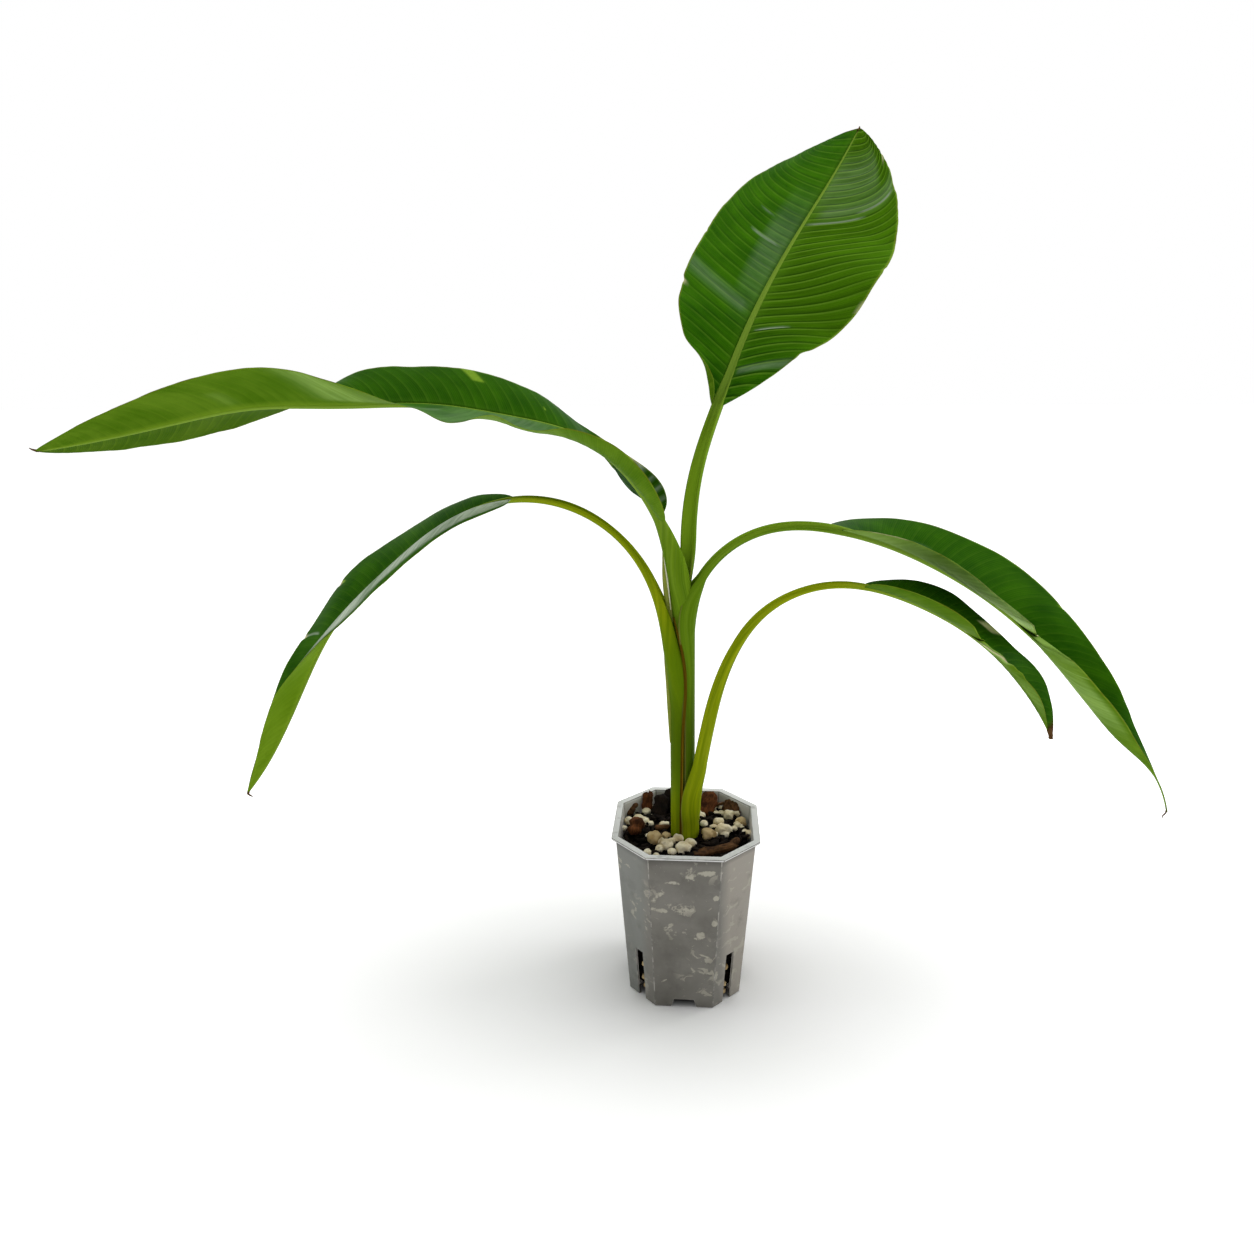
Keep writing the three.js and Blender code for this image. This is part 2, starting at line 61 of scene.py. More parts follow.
# Leaves
# The same midlines and halves as the solids: pitch (90 is straight up) and heading (0 is +X) at
# equal steps along the leaf, and each half's fold above level from the blade's base to its tip.
# Along a blade, place counts from its base (0) to its tip (1) and out from the midrib to the margin.
# bow is how far the blade bellies between midrib and margin, in degrees, at even steps.
# sweep is how far a vein runs towards the tip on its way out: a steady part and a growing part.
# pleats are (spacing mm, depth mm, strength of their lines: painted shade in hollows, highlights on
# crests).
# curls turn the outer blade up: (place, reach, degrees, from where out).
# ripples lift the margin: (place, reach, lift in mm).
# nicks cut the margin: (place, reach before, reach after, share of the width).
# pale marks are painted highlights, streaks of sheen along a vein: (place, reach, from, to, strength).
# dry and fresh are small patches: (place, reach, from, to).
# shade paints shade over a whole half, and lit paints a yellower light on it: (from this place on, share).
# end is the place where the half's width runs out, and a leaf's dead the length of its dead tip in mm.
# A stalk's sheath starts at height bottom and leaves the stem over the two distances of leave, in mm
# along the midline. wrap is how far it reaches round the stem to each side, in degrees from its back.
# spread turns its first edge on, close brings the free stalk's edges together above the sheath, and
# hue darkens the sheath. sheath and petiole are radii at equal steps, and wall is how thick it is.
PLAIN_HALF = {
    "bow": (8, 10, 10, 8, 6), "sweep": (0.4, 0.12), "curls": [], "ripples": [], "nicks": [], "pale": [],
    "dry": [], "fresh": [], "shade": 0, "lit": (0, 0), "end": 1,
}
PLAIN_STALK = {"bottom": 100, "wall": 2.4, "hue": 0, "close": 0, "spread": 0}
PLAIN_TIP = 1.5
leaves = {
    "upright": dict(
        foot=(0, 4, 313), length=341, blade_start=0.295, pitch=(94, 55, 54, 47, 44, 50),
        heading=(72, 53, 50),
        left=dict(
            width=68, base=0.7, tip=0.4, fold=(60, 45, 23, 14, 11, 6, -8), bow=(8, 10, 10, 8, 4),
            sweep=(0.2, 0.2), pleats=(7.0, 0.22, 0.45), curls=[(0.0, 0.16, 165, 0.3)],
            ripples=[(0.3, 0.06, -1.5)], nicks=[(0.24, 0.012, 0.012, 0.02), (0.4, 0.008, 0.008, 0.01)],
            pale=[
                (0.3, 0.035, 0.1, 1.0, 0.14), (0.52, 0.007, 0.1, 0.45, 0.5), (0.6, 0.005, 0.35, 0.5, 0.3),
                (0.5, 0.3, 0.0, 0.3, 0.1),
            ],
            dry=[(0.24, 0.012, 0.95, 1.0)],
        ),
        right=dict(
            width=64, base=1, tip=0.8, fold=(-26, -21, -40, -24, -34, -31, -30), bow=(4, 10, 10, 8, 4),
            sweep=(0.44, 0.2), pleats=(6.6, 1.0, 1.0), lit=(0.1, 0.14), curls=[(0.1, 0.1, -45, 0.5)],
            ripples=[(0.62, 0.05, 1.5), (0.86, 0.04, -1.5)],
            nicks=[(0.755, 0.01, 0.01, 0.04), (0.36, 0.012, 0.012, 0.01), (0.13, 0.014, 0.014, 0.05)],
            pale=[
                (0.615, 0.009, 0.05, 0.55, 0.45), (0.64, 0.005, 0.5, 0.9, 0.9),
                (0.66, 0.05, 0.1, 1.0, 0.12), (0.78, 0.16, 0.0, 0.7, 0.1),
                (0.235, 0.005, 0.1, 0.45, 0.65), (0.105, 0.016, 0.1, 1.0, 0.2),
            ],
            dry=[(0.755, 0.016, 0.9, 1.0), (0.27, 0.02, 0.985, 1.0)],
        ),
        stalk=dict(
            bottom=235, leave=(-40, 10), wall=4, wrap=(-118, 118), sheath=(3.5, 3.7, 4.2, 4.8, 5.1),
            petiole=(5.1, 4.8, 4.4, 4.1, 3.9),
        ),
    ),
    "long": dict(
        foot=(-4, 0, 284), length=445, blade_start=0.125, pitch=(86, 67, 45, 16, 10, -1, 1, -11, -11, -7),
        heading=(193, 190, 193),
        left=dict(
            width=47, base=0.4, tip=0.8, fold=(5, 10, 9, 2, -1, 5, 23, 38, 43, 49, 54, 49),
            bow=(-35, -30, -10, 0, 8, 10, 8), sweep=(0.35, 0.12), pleats=(7.2, 0.1, 0.1),
            ripples=[(0.262, 0.045, -2.5), (0.325, 0.04, 4), (0.388, 0.045, -4)],
            pale=[
                (0.3, 0.16, 0.0, 1.1, 0.13), (0.39, 0.02, 0.3, 0.9, 0.15), (0.52, 0.07, 0.2, 1.0, 0.3),
                (0.7, 0.02, 0.15, 0.5, 0.07),
            ],
        ),
        right=dict(
            width=45, base=0.5, tip=0.7, fold=(60, 14, 5, 20, 26, 25, 22, -4, -19, -25, -27, -28),
            shade=0.42, bow=(-95, -60, 6, 8, 8, 8, 8, 8, 8, 8, 8), sweep=(0.32, 0.12),
            pleats=(7.2, 0.15, 0.2),
            pale=[
                (0.062, 0.012, 0.3, 1.1, 0.6), (0.042, 0.004, 0.2, 1.0, 0.45),
                (0.028, 0.004, 0.2, 1.0, 0.4), (0.015, 0.004, 0.2, 1.0, 0.35),
            ],
            dry=[(0.09, 0.05, 0.97, 1.0)], fresh=[(0.325, 0.016, 0.66, 1.0), (0.235, 0.003, 0.36, 0.42)],
        ),
        stalk=dict(
            bottom=205, leave=(-22, 14), wall=1.5, wrap=(-130, 130), hue=0.25, close=22,
            sheath=(6.2, 6.8, 7.2, 7.5, 7.6), petiole=(7.6, 7.3, 6.6, 5.6, 4.5),
        ),
    ),
    "left": dict(
        foot=(-5, -3, 215), length=518, blade_start=0.375, dead=4,
        pitch=(85, 73, 37, -6, -36, -43, -60, -60, -49), heading=(176, 175, 173),
        left=dict(
            width=39, base=0.4, tip=0.9, fold=(-6, -10, -12, -13, 0, 20, 28, 33), bow=(10, 12, 10, 8, 6),
            pleats=(6.6, 0.08, 0.1), lit=(0.42, 0.3),
            pale=[(0.04, 0.2, 0.0, 0.85, 1.2), (0.2, 0.24, 0.05, 0.8, 1.1), (0.38, 0.14, 0.0, 0.9, 1.1)],
        ),
        right=dict(
            width=40, base=0.7, tip=0.8, fold=(15, 16, 22, 31, 34, 51, 57, 60), shade=0.4,
            pleats=(6.6, 0.08, 0.12), nicks=[(0.405, 0.01, 0.01, 0.04), (0.54, 0.01, 0.01, 0.05)],
            pale=[(0.54, 0.005, 0.4, 1.0, 0.6), (0.12, 0.1, 0.93, 1.0, 0.5)],
            dry=[(0.405, 0.012, 0.9, 1.0), (0.54, 0.01, 0.9, 1.0)], fresh=[(0.4, 0.006, 0.8, 1.0)],
        ),
        stalk=dict(
            leave=(-10, 42), wrap=(-82, 98), hue=0.8, close=30, sheath=(8.3, 8.4, 8.1, 7.0, 5.8),
            petiole=(5.8, 4.0, 3.0, 3.1, 2.7),
        ),
    ),
    "right": dict(
        foot=(0, 1, 256), length=480, blade_start=0.3, pitch=(99, 46, -2, -22, -33, -43, -49, -44, -74),
        heading=(5, 7, 11),
        left=dict(
            width=44, base=0.2, tip=0.8, fold=(-7, 18, 36, 52, 63, 75, 43, 17), shade=0.4,
            sweep=(0.6, 0.16), pleats=(6.8, 0.06, 0.12), end=0.93, nicks=[(0.385, 0.01, 0.01, 0.02)],
            pale=[(0.16, 0.03, 0.0, 0.3, 0.1)], fresh=[(0.385, 0.004, 0.95, 1.0)],
        ),
        right=dict(
            width=45, base=0.5, tip=1, fold=(18, 15, 5, 3, 5, 9, -7, -40),
            bow=(-8, -14, -16, -14, -30, -45, -55, -40, -30), pleats=(6.8, 0.06, 0.08), end=0.94,
            ripples=[(0.455, 0.02, 2)], nicks=[(0.382, 0.085, 0.012, 0.88)],
            pale=[
                (0.06, 0.16, 0.3, 1.1, 0.25), (0.27, 0.2, 0.55, 1.1, 0.75), (0.55, 0.16, 0.3, 0.9, 0.35),
                (0.455, 0.004, 0.3, 1.0, 0.4),
            ],
            dry=[(0.372, 0.012, 0.6, 1.0), (0.05, 0.04, 0.98, 1.0)],
        ),
        stalk=dict(
            leave=(5, 44), wrap=(-84, 80), spread=-28, hue=0.4, sheath=(8.3, 8.6, 8.4, 6.8, 4),
            petiole=(4, 3.6, 3.5, 3.6, 3.8),
        ),
    ),
    "small": dict(
        foot=(5, -6, 122), length=388, blade_start=0.605, dead=10,
        pitch=(90, 81, 77, 60, 24, -13, -30, -48, -64), heading=(-35, -7, -12),
        left=dict(
            width=29, base=0.6, tip=0.7, fold=(2, 17, 21, 14, 18, 35, 31), shade=0.5,
            pleats=(6, 0.08, 0.15), dry=[(0.45, 0.06, 0.6, 1.0)],
        ),
        right=dict(
            width=29, base=0.5, tip=0.8, fold=(29, 26, 23, 16, 17, 24, 14), shade=0.12,
            bow=(-8, -16, -18, -14, -25, -40, -40), pleats=(6, 0.08, 0.1), end=0.95,
            ripples=[(0.5, 0.03, 1.5), (0.58, 0.03, -1.5), (0.66, 0.03, 1)],
            nicks=[(0.405, 0.1, 0.04, 0.88)],
            pale=[(0.46, 0.04, 0.3, 1.0, 0.7), (0.7, 0.2, 0.6, 1.0, 0.2)],
            dry=[(0.395, 0.03, 0.1, 0.5), (0.455, 0.014, 0.3, 1.0)], fresh=[(0.41, 0.04, 0.4, 0.8)],
        ),
        stalk=dict(
            leave=(0, 50), wrap=(-57, 57), sheath=(11.3, 11.2, 9, 6.6, 5.2),
            petiole=(5.2, 5.1, 4.4, 3.0, 2.6),
        ),
    ),
}
for leaf in leaves.values():
    leaf.setdefault("dead", PLAIN_TIP)
    leaf["stalk"] = PLAIN_STALK | leaf["stalk"]
    for which in ("left", "right"):
        leaf[which] = PLAIN_HALF | leaf[which]
STALK_NODES = {
    "upright": ["upright_petiole"],
    "long": ["long_petiole"],
    "left": ["left_sheath", "left_petiole_lower", "left_petiole_upper"],
    "right": ["right_sheath", "right_petiole_lower", "right_petiole_upper"],
    "small": ["small_sheath", "small_petiole_lower", "small_petiole_upper"],
}
BLADE_NODES = {
    "upright": ["upright_blade"],
    "long": ["long_blade_inner", "long_blade_outer"],
    "left": ["left_blade_inner", "left_blade_outer"],
    "right": ["right_blade_inner", "right_blade_outer"],
    "small": ["small_blade"],
}

# Shapes in millimetres
STALK_WRAP = 120          # how far round a free stalk's back reaches to each side, in degrees
MIDRIB_WRAP = 94          # the same, along the blade
RIB_TIP = 0.6             # radius of the midrib at a leaf's tip
ROW_STEP = 1.1            # spacing of the rows along a blade
RING_STEP = 2.5           # spacing of the rings along a stalk
COLUMNS = 20              # steps from the midrib to the margin
BELLY_STEPS = 14          # steps in which a row's bow is summed
BACK_POINTS = 30          # points round a stalk's back and across its hollow front
FRONT_POINTS = 16


def mix(a, b, share):
    return a + (b - a) * share


def shade(colour, share):
    return tuple(channel * share for channel in colour)


def smooth(share):
    s = np.clip(share, 0, 1)
    return s * s * (3 - 2 * s)


def along(table, share):
    """Values read smoothly from a table whose entries lie at equal steps."""
    table = np.asarray(table, float)
    last = len(table) - 1
    place = np.clip(np.asarray(share, float), 0, 1) * last
    i = np.minimum(place.astype(int), last - 1)
    f = place - i
    b, c = table[i], table[i + 1]
    a = np.where(i > 0, table[np.maximum(i - 1, 0)], 2 * b - c)
    d = np.where(i + 2 <= last, table[np.minimum(i + 2, last)], 2 * c - b)
    return 0.5 * (2 * b + (c - a) * f + (2 * a - 5 * b + 4 * c - d) * f**2 + (3 * b - a - 3 * c + d) * f**3)


class Midline:
    """The line that a leaf follows, and the directions that its sections stand in."""

    def __init__(self, leaf):
        steps = 480
        self.leaf = leaf
        share = (np.arange(steps) + 0.5) / steps
        walk = self.direction(share) * leaf["length"] / steps
        self.at = np.vstack([leaf["foot"], leaf["foot"] + np.cumsum(walk, 0)])
        self.mm = np.linspace(0, leaf["length"], steps + 1)

    def direction(self, share):
        pitch = np.radians(along(self.leaf["pitch"], share))
        heading = np.radians(along(self.leaf["heading"], share))
        level = np.cos(pitch)
        return np.stack([level * np.cos(heading), level * np.sin(heading), np.sin(pitch)], -1)

    def forward(self, mm):
        return self.direction(np.asarray(mm, float) / self.leaf["length"])

    def point(self, mm):
        mm = np.asarray(mm, float)
        inside = np.stack([np.interp(mm, self.mm, self.at[:, k]) for k in range(3)], -1)
        return inside + self.direction(np.zeros(mm.shape)) * np.minimum(mm, 0)[..., None]

    def sideways(self, mm):
        heading = np.radians(along(self.leaf["heading"], np.asarray(mm, float) / self.leaf["length"]))
        return np.stack([-np.sin(heading), np.cos(heading), np.zeros_like(heading)], -1)


def stem_axis(z):
    lean = (np.asarray(z, float) - 105) / 195
    return np.stack([mix(-2.2, -3.8, lean), mix(0, 0.5, lean), np.asarray(z, float)], -1)


# Mesh building
def deselect():
    for thing in bpy.context.selected_objects:
        thing.select_set(False)


def choose(piece):
    deselect()
    piece.select_set(True)
    bpy.context.view_layer.objects.active = piece


def make_piece(name, points, faces, finishes, uv=None, marks=None, finish_of=None):
    """A smooth piece from points in mm. uv and marks hold a value for each point."""
    mesh = bpy.data.meshes.new(name)
    mesh.from_pydata((np.asarray(points, float) * MM).tolist(), [], faces)
    for finish in finishes:
        mesh.materials.append(finish)
    mesh.polygons.foreach_set("use_smooth", [True] * len(mesh.polygons))
    if finish_of is not None:
        mesh.polygons.foreach_set("material_index", finish_of)
    corners = np.empty(len(mesh.loops), int)
    mesh.loops.foreach_get("vertex_index", corners)
    if uv is not None:
        layer = mesh.uv_layers.new(name="skin")
        layer.data.foreach_set("uv", np.asarray(uv, np.float32)[corners].ravel())
    for mark, values in (marks or {}).items():
        attribute = mesh.attributes.new(mark, "FLOAT", "POINT")
        attribute.data.foreach_set("value", np.asarray(values, np.float32))
    mesh.validate()
    mesh.update()
    piece = bpy.data.objects.new(name, mesh)
    bpy.context.scene.collection.objects.link(piece)
    return piece


def seat(piece, nodes=()):
    """Hangs a finished piece under the root and hides the solids that it stands for."""
    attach(piece, "root")
    if nodes:
        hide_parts(*nodes)


def tube_faces(rings, count):
    """Quads between rings of equal point count, with a fan-free cap at each end."""
    faces = []
    for r in range(rings - 1):
        for i in range(count):
            a = r * count + i
            b = r * count + (i + 1) % count
            faces.append((a, b, b + count, a + count))
    faces.append(tuple(range(count - 1, -1, -1)))
    faces.append(tuple((rings - 1) * count + i for i in range(count)))
    return faces


# Finishes, with colours as linear red, green and blue
LEAF_IOR = 1.18           # low, so that the waxy skin veils its green only at a glancing angle
# Painted shade that darkens a whole half, and painted light that makes one brighter and yellower
LEAF_SHADE = (0.004, 0.032, 0.0003)
LEAF_LIT = (0.20, 0.33, 0.008)
LEAF_FRESH = (0.16, 0.29, 0.02)
LEAF_EDGE = ((0.22, 0.33, 0.03), (0.17, 0.19, 0.015))
LEAF_DRY = ((0.34, 0.31, 0.12), (0.62, 0.60, 0.38))
LEAF_DEAD = (0.05, 0.018, 0.006)
# What sets the two faces of a blade apart, besides the greens in the foliage settings
# Each face's highlight colour is what its pale marks paint as highlights
UPPER_FACE = dict(vein=(0.14, 0.27, 0.025), painted_highlight=(0.50, 0.58, 0.46), roughness=0.36, rib_glow=0.1)
UNDER_FACE = dict(vein=(0.20, 0.32, 0.02), painted_highlight=(0.46, 0.68, 0.20), roughness=0.48, rib_glow=0.45)
STALK_SPECK = (0.02, 0.015, 0.005)
STALK_DRY = (0.05, 0.028, 0.01)
# Marks on a stalk in the order in which they are laid: (mark, colour, strength)
STALK_MARKS = [
    # low is painted shade, darker and olive, on the stem around 185 mm up
    ("sheath", (0.085, 0.17, 0.002), 1), ("low", (0.035, 0.065, 0.001), 0.5),
    ("rib", (0.19, 0.31, 0.035), 0.8), ("margin", (0.12, 0.075, 0.015), 0.8),
    ("rim", (0.26, 0.28, 0.07), 0.7),
]
# Light, deep and pale tone of a stalk's skin
STALK_COLOURS = {
    "stalk_green": ((0.15, 0.26, 0.010), (0.08, 0.165, 0.003), (0.24, 0.36, 0.05)),
    "stalk_yellow": ((0.25, 0.31, 0.003), (0.14, 0.20, 0.001), (0.34, 0.38, 0.02)),
}
YELLOW_STALKS = ("left", "small")
TIP_COLOURS = ((0.035, 0.012, 0.006), (0.16, 0.09, 0.03))


class Finish:
    """A material under construction. Every value may be a number, a colour or another node's socket."""

    def __init__(self, name, **constants):
        self.material = bpy.data.materials.new(name)
        self.material.use_nodes = True
        self.material.node_tree.nodes.clear()
        self.body = (0, 0, 0)
        self.shader = self.node("ShaderNodeBsdfPrincipled", constants)
        self.node("ShaderNodeOutputMaterial", {"Surface": self.shader.outputs["BSDF"]})

    def node(self, kind, inputs, **settings):
        made = self.material.node_tree.nodes.new(kind)
        for name, value in settings.items():
            setattr(made, name, value)
        self.feed(made, inputs)
        return made

    def feed(self, node, inputs):
        for name, value in inputs.items():
            socket = node.inputs[name.replace("_", " ") if isinstance(name, str) else name]
            if isinstance(value, bpy.types.NodeSocket):
                self.material.node_tree.links.new(value, socket)
            elif socket.type == "RGBA":
                socket.default_value = (*value, 1)
            else:
                socket.default_value = value

    @cached_property
    def where(self):
        """The place in the piece's own space."""
        return self.node("ShaderNodeTexCoord", {}).outputs["Object"]

    @cached_property
    def skin(self):
        """U and V of the piece's own map."""
        layer = self.node("ShaderNodeUVMap", {}, uv_map="skin")
        return self.split(layer.outputs["UV"])[:2]

    def split(self, vector):
        return self.node("ShaderNodeSeparateXYZ", {"Vector": vector}).outputs

    def mark(self, name):
        return self.node("ShaderNodeAttribute", {}, attribute_name=name).outputs["Fac"]

    def math(self, operation, a, b=0.0, clamp=False):
        return self.node("ShaderNodeMath", {0: a, 1: b}, operation=operation, use_clamp=clamp).outputs[0]

    def times(self, a, b):
        return self.math("MULTIPLY", a, b)

    def plus(self, a, b):
        return self.math("ADD", a, b)

    def minus(self, a, b):
        return self.math("SUBTRACT", a, b)

    def larger(self, a, b):
        return self.math("MAXIMUM", a, b)

    def length(self, x, y):
        return self.math("SQRT", self.plus(self.times(x, x), self.times(y, y)))

    def stretch(self, scale):
        return self.node("ShaderNodeMapping", {"Vector": self.where, "Scale": scale}).outputs[0]

    def noise(self, scale, detail, roughness, distortion=0.0, where=None):
        spots = {"Vector": where or self.where, "Scale": scale, "Detail": detail}
        grain = {"Roughness": roughness, "Distortion": distortion}
        return self.node("ShaderNodeTexNoise", spots | grain).outputs["Fac"]

    def skin_noise(self, along_u, along_v, detail, roughness):
        """Noise on the piece's own map, with so many spots to each unit of U and of V."""
        u, v = self.skin
        spot = self.node("ShaderNodeCombineXYZ", {"X": self.times(u, along_u), "Y": self.times(v, along_v)})
        return self.noise(1.0, detail, roughness, where=spot.outputs[0])

    def cells(self, scale):
        return self.node("ShaderNodeTexVoronoi", {"Vector": self.where, "Scale": scale}).outputs["Distance"]

    def ramp(self, value, stops):
        """Reads a value through (place, grey or colour) stops."""
        node = self.node("ShaderNodeValToRGB", {"Fac": value})
        elements = node.color_ramp.elements
        while len(elements) < len(stops):
            elements.new(0.5)
        for element, (where, tone) in zip(elements, stops):
            element.position = where
            element.color = (*tone, 1) if isinstance(tone, tuple) else (tone, tone, tone, 1)
        return node.outputs["Color"]

    def rise(self, value, low, high):
        return self.ramp(value, [(low, 0.0), (high, 1.0)])

    def fall(self, value, low, high):
        return self.ramp(value, [(low, 1.0), (high, 0.0)])

    def blend(self, share, first, second):
        sides = {"Factor": share, "A": first, "B": second}
        return self.node("ShaderNodeMix", sides, data_type="RGBA").outputs["Result"]

    def coat(self, share, colour, strength=1):
        """Lays a colour over the body as far as share says."""
        if strength != 1:
            share = self.times(share, strength)
        self.body = self.blend(share, self.body, colour)

    def done(self, height, distance, strength, **sockets):
        """Joins the body, a bump and whatever else varies over the surface to the shader."""
        bump = self.node("ShaderNodeBump", {"Height": height, "Distance": distance, "Strength": strength})
        self.feed(self.shader, {"Base Color": self.body, "Normal": bump.outputs["Normal"], **sockets})
        return self.material


def leaf_face(name, deep, light, vein, painted_highlight, roughness, rib_glow):
    """One face of a blade: pleats follow the skin's whole numbers in U, the margin is at V = 1."""
    leaf = Finish(name, Roughness=roughness, IOR=LEAF_IOR, Specular_IOR_Level=0.015)
    u, v = leaf.skin
    lines, pale = leaf.mark("lines"), leaf.mark("pale")
    broad, near = leaf.skin_noise(0.3, 1.1, 3, 0.55), leaf.noise(20, 3, 0.55)
    wander = leaf.plus(leaf.times(near, 0.5), leaf.times(broad, 0.5))
    streaks = leaf.skin_noise(1.9, 1.3, 4, 0.6)
    tone = leaf.blend(leaf.plus(leaf.times(lines, 0.45), 0.12), wander, streaks)
    leaf.body = leaf.blend(leaf.rise(tone, 0.40, 0.62), deep, light)
    # Painted shade over a half, then painted light
    leaf.coat(leaf.mark("shade"), LEAF_SHADE)
    leaf.coat(leaf.mark("lit"), LEAF_LIT)
    fine = leaf.math("SINE", leaf.times(u, 12 * math.pi))
    leaf.coat(leaf.rise(fine, 0.35, 1.0), vein, 0.10)
    within = leaf.math("FRACT", u)
    drawn = leaf.times(lines, leaf.ramp(v, [(0.0, 0.55), (0.1, 1.0), (0.7, 0.8), (1.0, 0.35)]))
    # Painted shade: a dark band in each pleat's hollow, just past its crest
    hollow = leaf.ramp(within, [(0.03, 0.0), (0.13, 1.0), (0.40, 0.15), (0.7, 0.0)])
    leaf.coat(leaf.times(hollow, drawn), shade(deep, 0.3), 0.8)
    # A pale line in the vein colour on each crest: the vein, lightened as a painted highlight on the ridge
    crest = leaf.ramp(within, [(0.0, 1.0), (0.05, 0.5), (0.10, 0.0), (0.86, 0.0), (1.0, 1.0)])
    leaf.coat(leaf.times(crest, drawn), vein, 0.7)
    leaf.coat(leaf.fall(v, 0.0, 0.14), vein, rib_glow)
    # Painted highlights: the pale mark lays streaks of sheen in the face's highlight colour
    leaf.coat(leaf.times(pale, leaf.ramp(streaks, [(0.35, 0.5), (0.60, 1.0)])), painted_highlight)
    leaf.coat(leaf.mark("fresh"), LEAF_FRESH)
    edge = leaf.blend(leaf.rise(leaf.noise(90, 2, 0.5), 0.42, 0.6), *LEAF_EDGE)
    leaf.coat(leaf.rise(v, 0.972, 0.99), edge, 0.65)
    leaf.coat(leaf.mark("dry"), leaf.blend(leaf.noise(260, 3, 0.6), *LEAF_DRY))
    leaf.coat(leaf.mark("dead"), LEAF_DEAD)
    height = leaf.plus(leaf.times(fine, 0.3), leaf.noise(420, 2, 0.5))
    return leaf.done(height, 0.00012, 0.3, Roughness=leaf.minus(roughness, leaf.times(pale, 0.1)))


def stalk_skin(name, light, deep, pale):
    """Satin skin of a sheath and stalk: fibres along V, a browned thin margin, painted light and shade."""
    stalk = Finish(name, Roughness=0.38, IOR=LEAF_IOR, Specular_IOR_Level=0.05)
    fibres = stalk.skin_noise(150, 2.5, 4, 0.6)
    stalk.body = stalk.blend(stalk.rise(stalk.skin_noise(34, 1.2, 2, 0.5), 0.35, 0.65), deep, light)
    stalk.coat(stalk.rise(fibres, 0.45, 0.75), pale, 0.45)
    # Painted light: the hollow front of a sheath, in shade, is lightened beyond the light tone
    stalk.coat(stalk.mark("inside"), shade(light, 1.4), 0.8)
    for mark, colour, strength in STALK_MARKS:
        stalk.coat(stalk.mark(mark), colour, strength)
    stalk.coat(stalk.fall(stalk.cells(55), 0.02, 0.035), STALK_SPECK, 0.7)
    stalk.coat(stalk.mark("dry"), STALK_DRY)
    return stalk.done(fibres, 0.0002, 0.35)


def dry_finish(name, deep, light):
    """Fibres along V, for strips of old sheath and dead tips."""
    dry = Finish(name, Roughness=0.7, Specular_IOR_Level=0.02)
    fibres = dry.skin_noise(220, 4, 4, 0.6)
    dry.body = dry.blend(dry.rise(fibres, 0.35, 0.65), deep, light)
    return dry.done(fibres, 0.0003, 0.5)


# Leaf stalks
def stalk_ring(radius, thick, edge, wrap):
    """Section of a stalk: a round back, and a hollow front that is an arc through three points."""
    first, last = np.radians(wrap)

    def polar(reach, angle):
        return np.stack([reach * np.sin(angle), -reach * np.cos(angle)], -1)

    back = polar(radius, np.linspace(first, last, BACK_POINTS))
    inward = radius - np.array([edge, thick, edge])
    a, b, c = polar(inward, np.array([last, (first + last) / 2, first]))
    middle = np.linalg.solve(2 * np.array([b - a, c - a]), [b @ b - a @ a, c @ c - a @ a])
    start, end = (math.atan2(y, x) for x, y in (a - middle, c - middle))
    sweep = (end - start) % (2 * math.pi) - 2 * math.pi
    angle = start + sweep * np.linspace(0, 1, FRONT_POINTS)
    front = middle + np.linalg.norm(middle - a) * np.stack([np.cos(angle), np.sin(angle)], -1)
    return np.vstack([back, front])


def stalk_station(leaf, line, mm):
    """Radius, wall, edge, wrap, centre and directions of one section, mm along the midline."""
    stalk = leaf["stalk"]
    low, high = stalk["leave"]
    blade_at = leaf["blade_start"] * leaf["length"]

    def centre_at(d):
        own = line.point(d)
        return mix(stem_axis(own[2]), own, float(smooth((d - low) / (high - low))))

    centre = centre_at(mm)
    if mm < high:
        forward = centre_at(mm + 1) - centre_at(mm - 1)
    else:
        forward = line.forward(mm)
    forward = forward / np.linalg.norm(forward)
    side = line.sideways(max(mm, 0))
    side = side - forward * (side @ forward)
    side /= np.linalg.norm(side)
    up = np.cross(forward, side)
    left = float(smooth((mm - low) / (high - low)))
    if mm <= high:
        radius = float(along(stalk["sheath"], (mm - low) / (high - low)))
    elif mm <= blade_at:
        radius = float(along(stalk["petiole"], (mm - high) / (blade_at - high)))
    else:
        here = (mm - blade_at) / (leaf["length"] - blade_at)
        radius = mix(stalk["petiole"][-1], RIB_TIP, min(here, 1) ** 0.8)
    on_blade = float(smooth((mm - blade_at + 10) / 40))
    closed = stalk["close"] * float(1 - smooth((mm - high) / 45))
    reach = mix(STALK_WRAP + closed, MIDRIB_WRAP, on_blade)
    spread = stalk["spread"] * float(smooth((mm - low + 36) / 47))
    first, last = stalk["wrap"]
    wrap = [mix(angle, math.copysign(reach, angle), left) for angle in (first + spread, last)]
    thick = mix(stalk["wall"], radius * mix(0.95, 0.8, on_blade), left)
    edge = mix(0.45, min(0.34 * radius, 1.3), left)
    return radius, thick, edge, wrap, centre, side, up, left


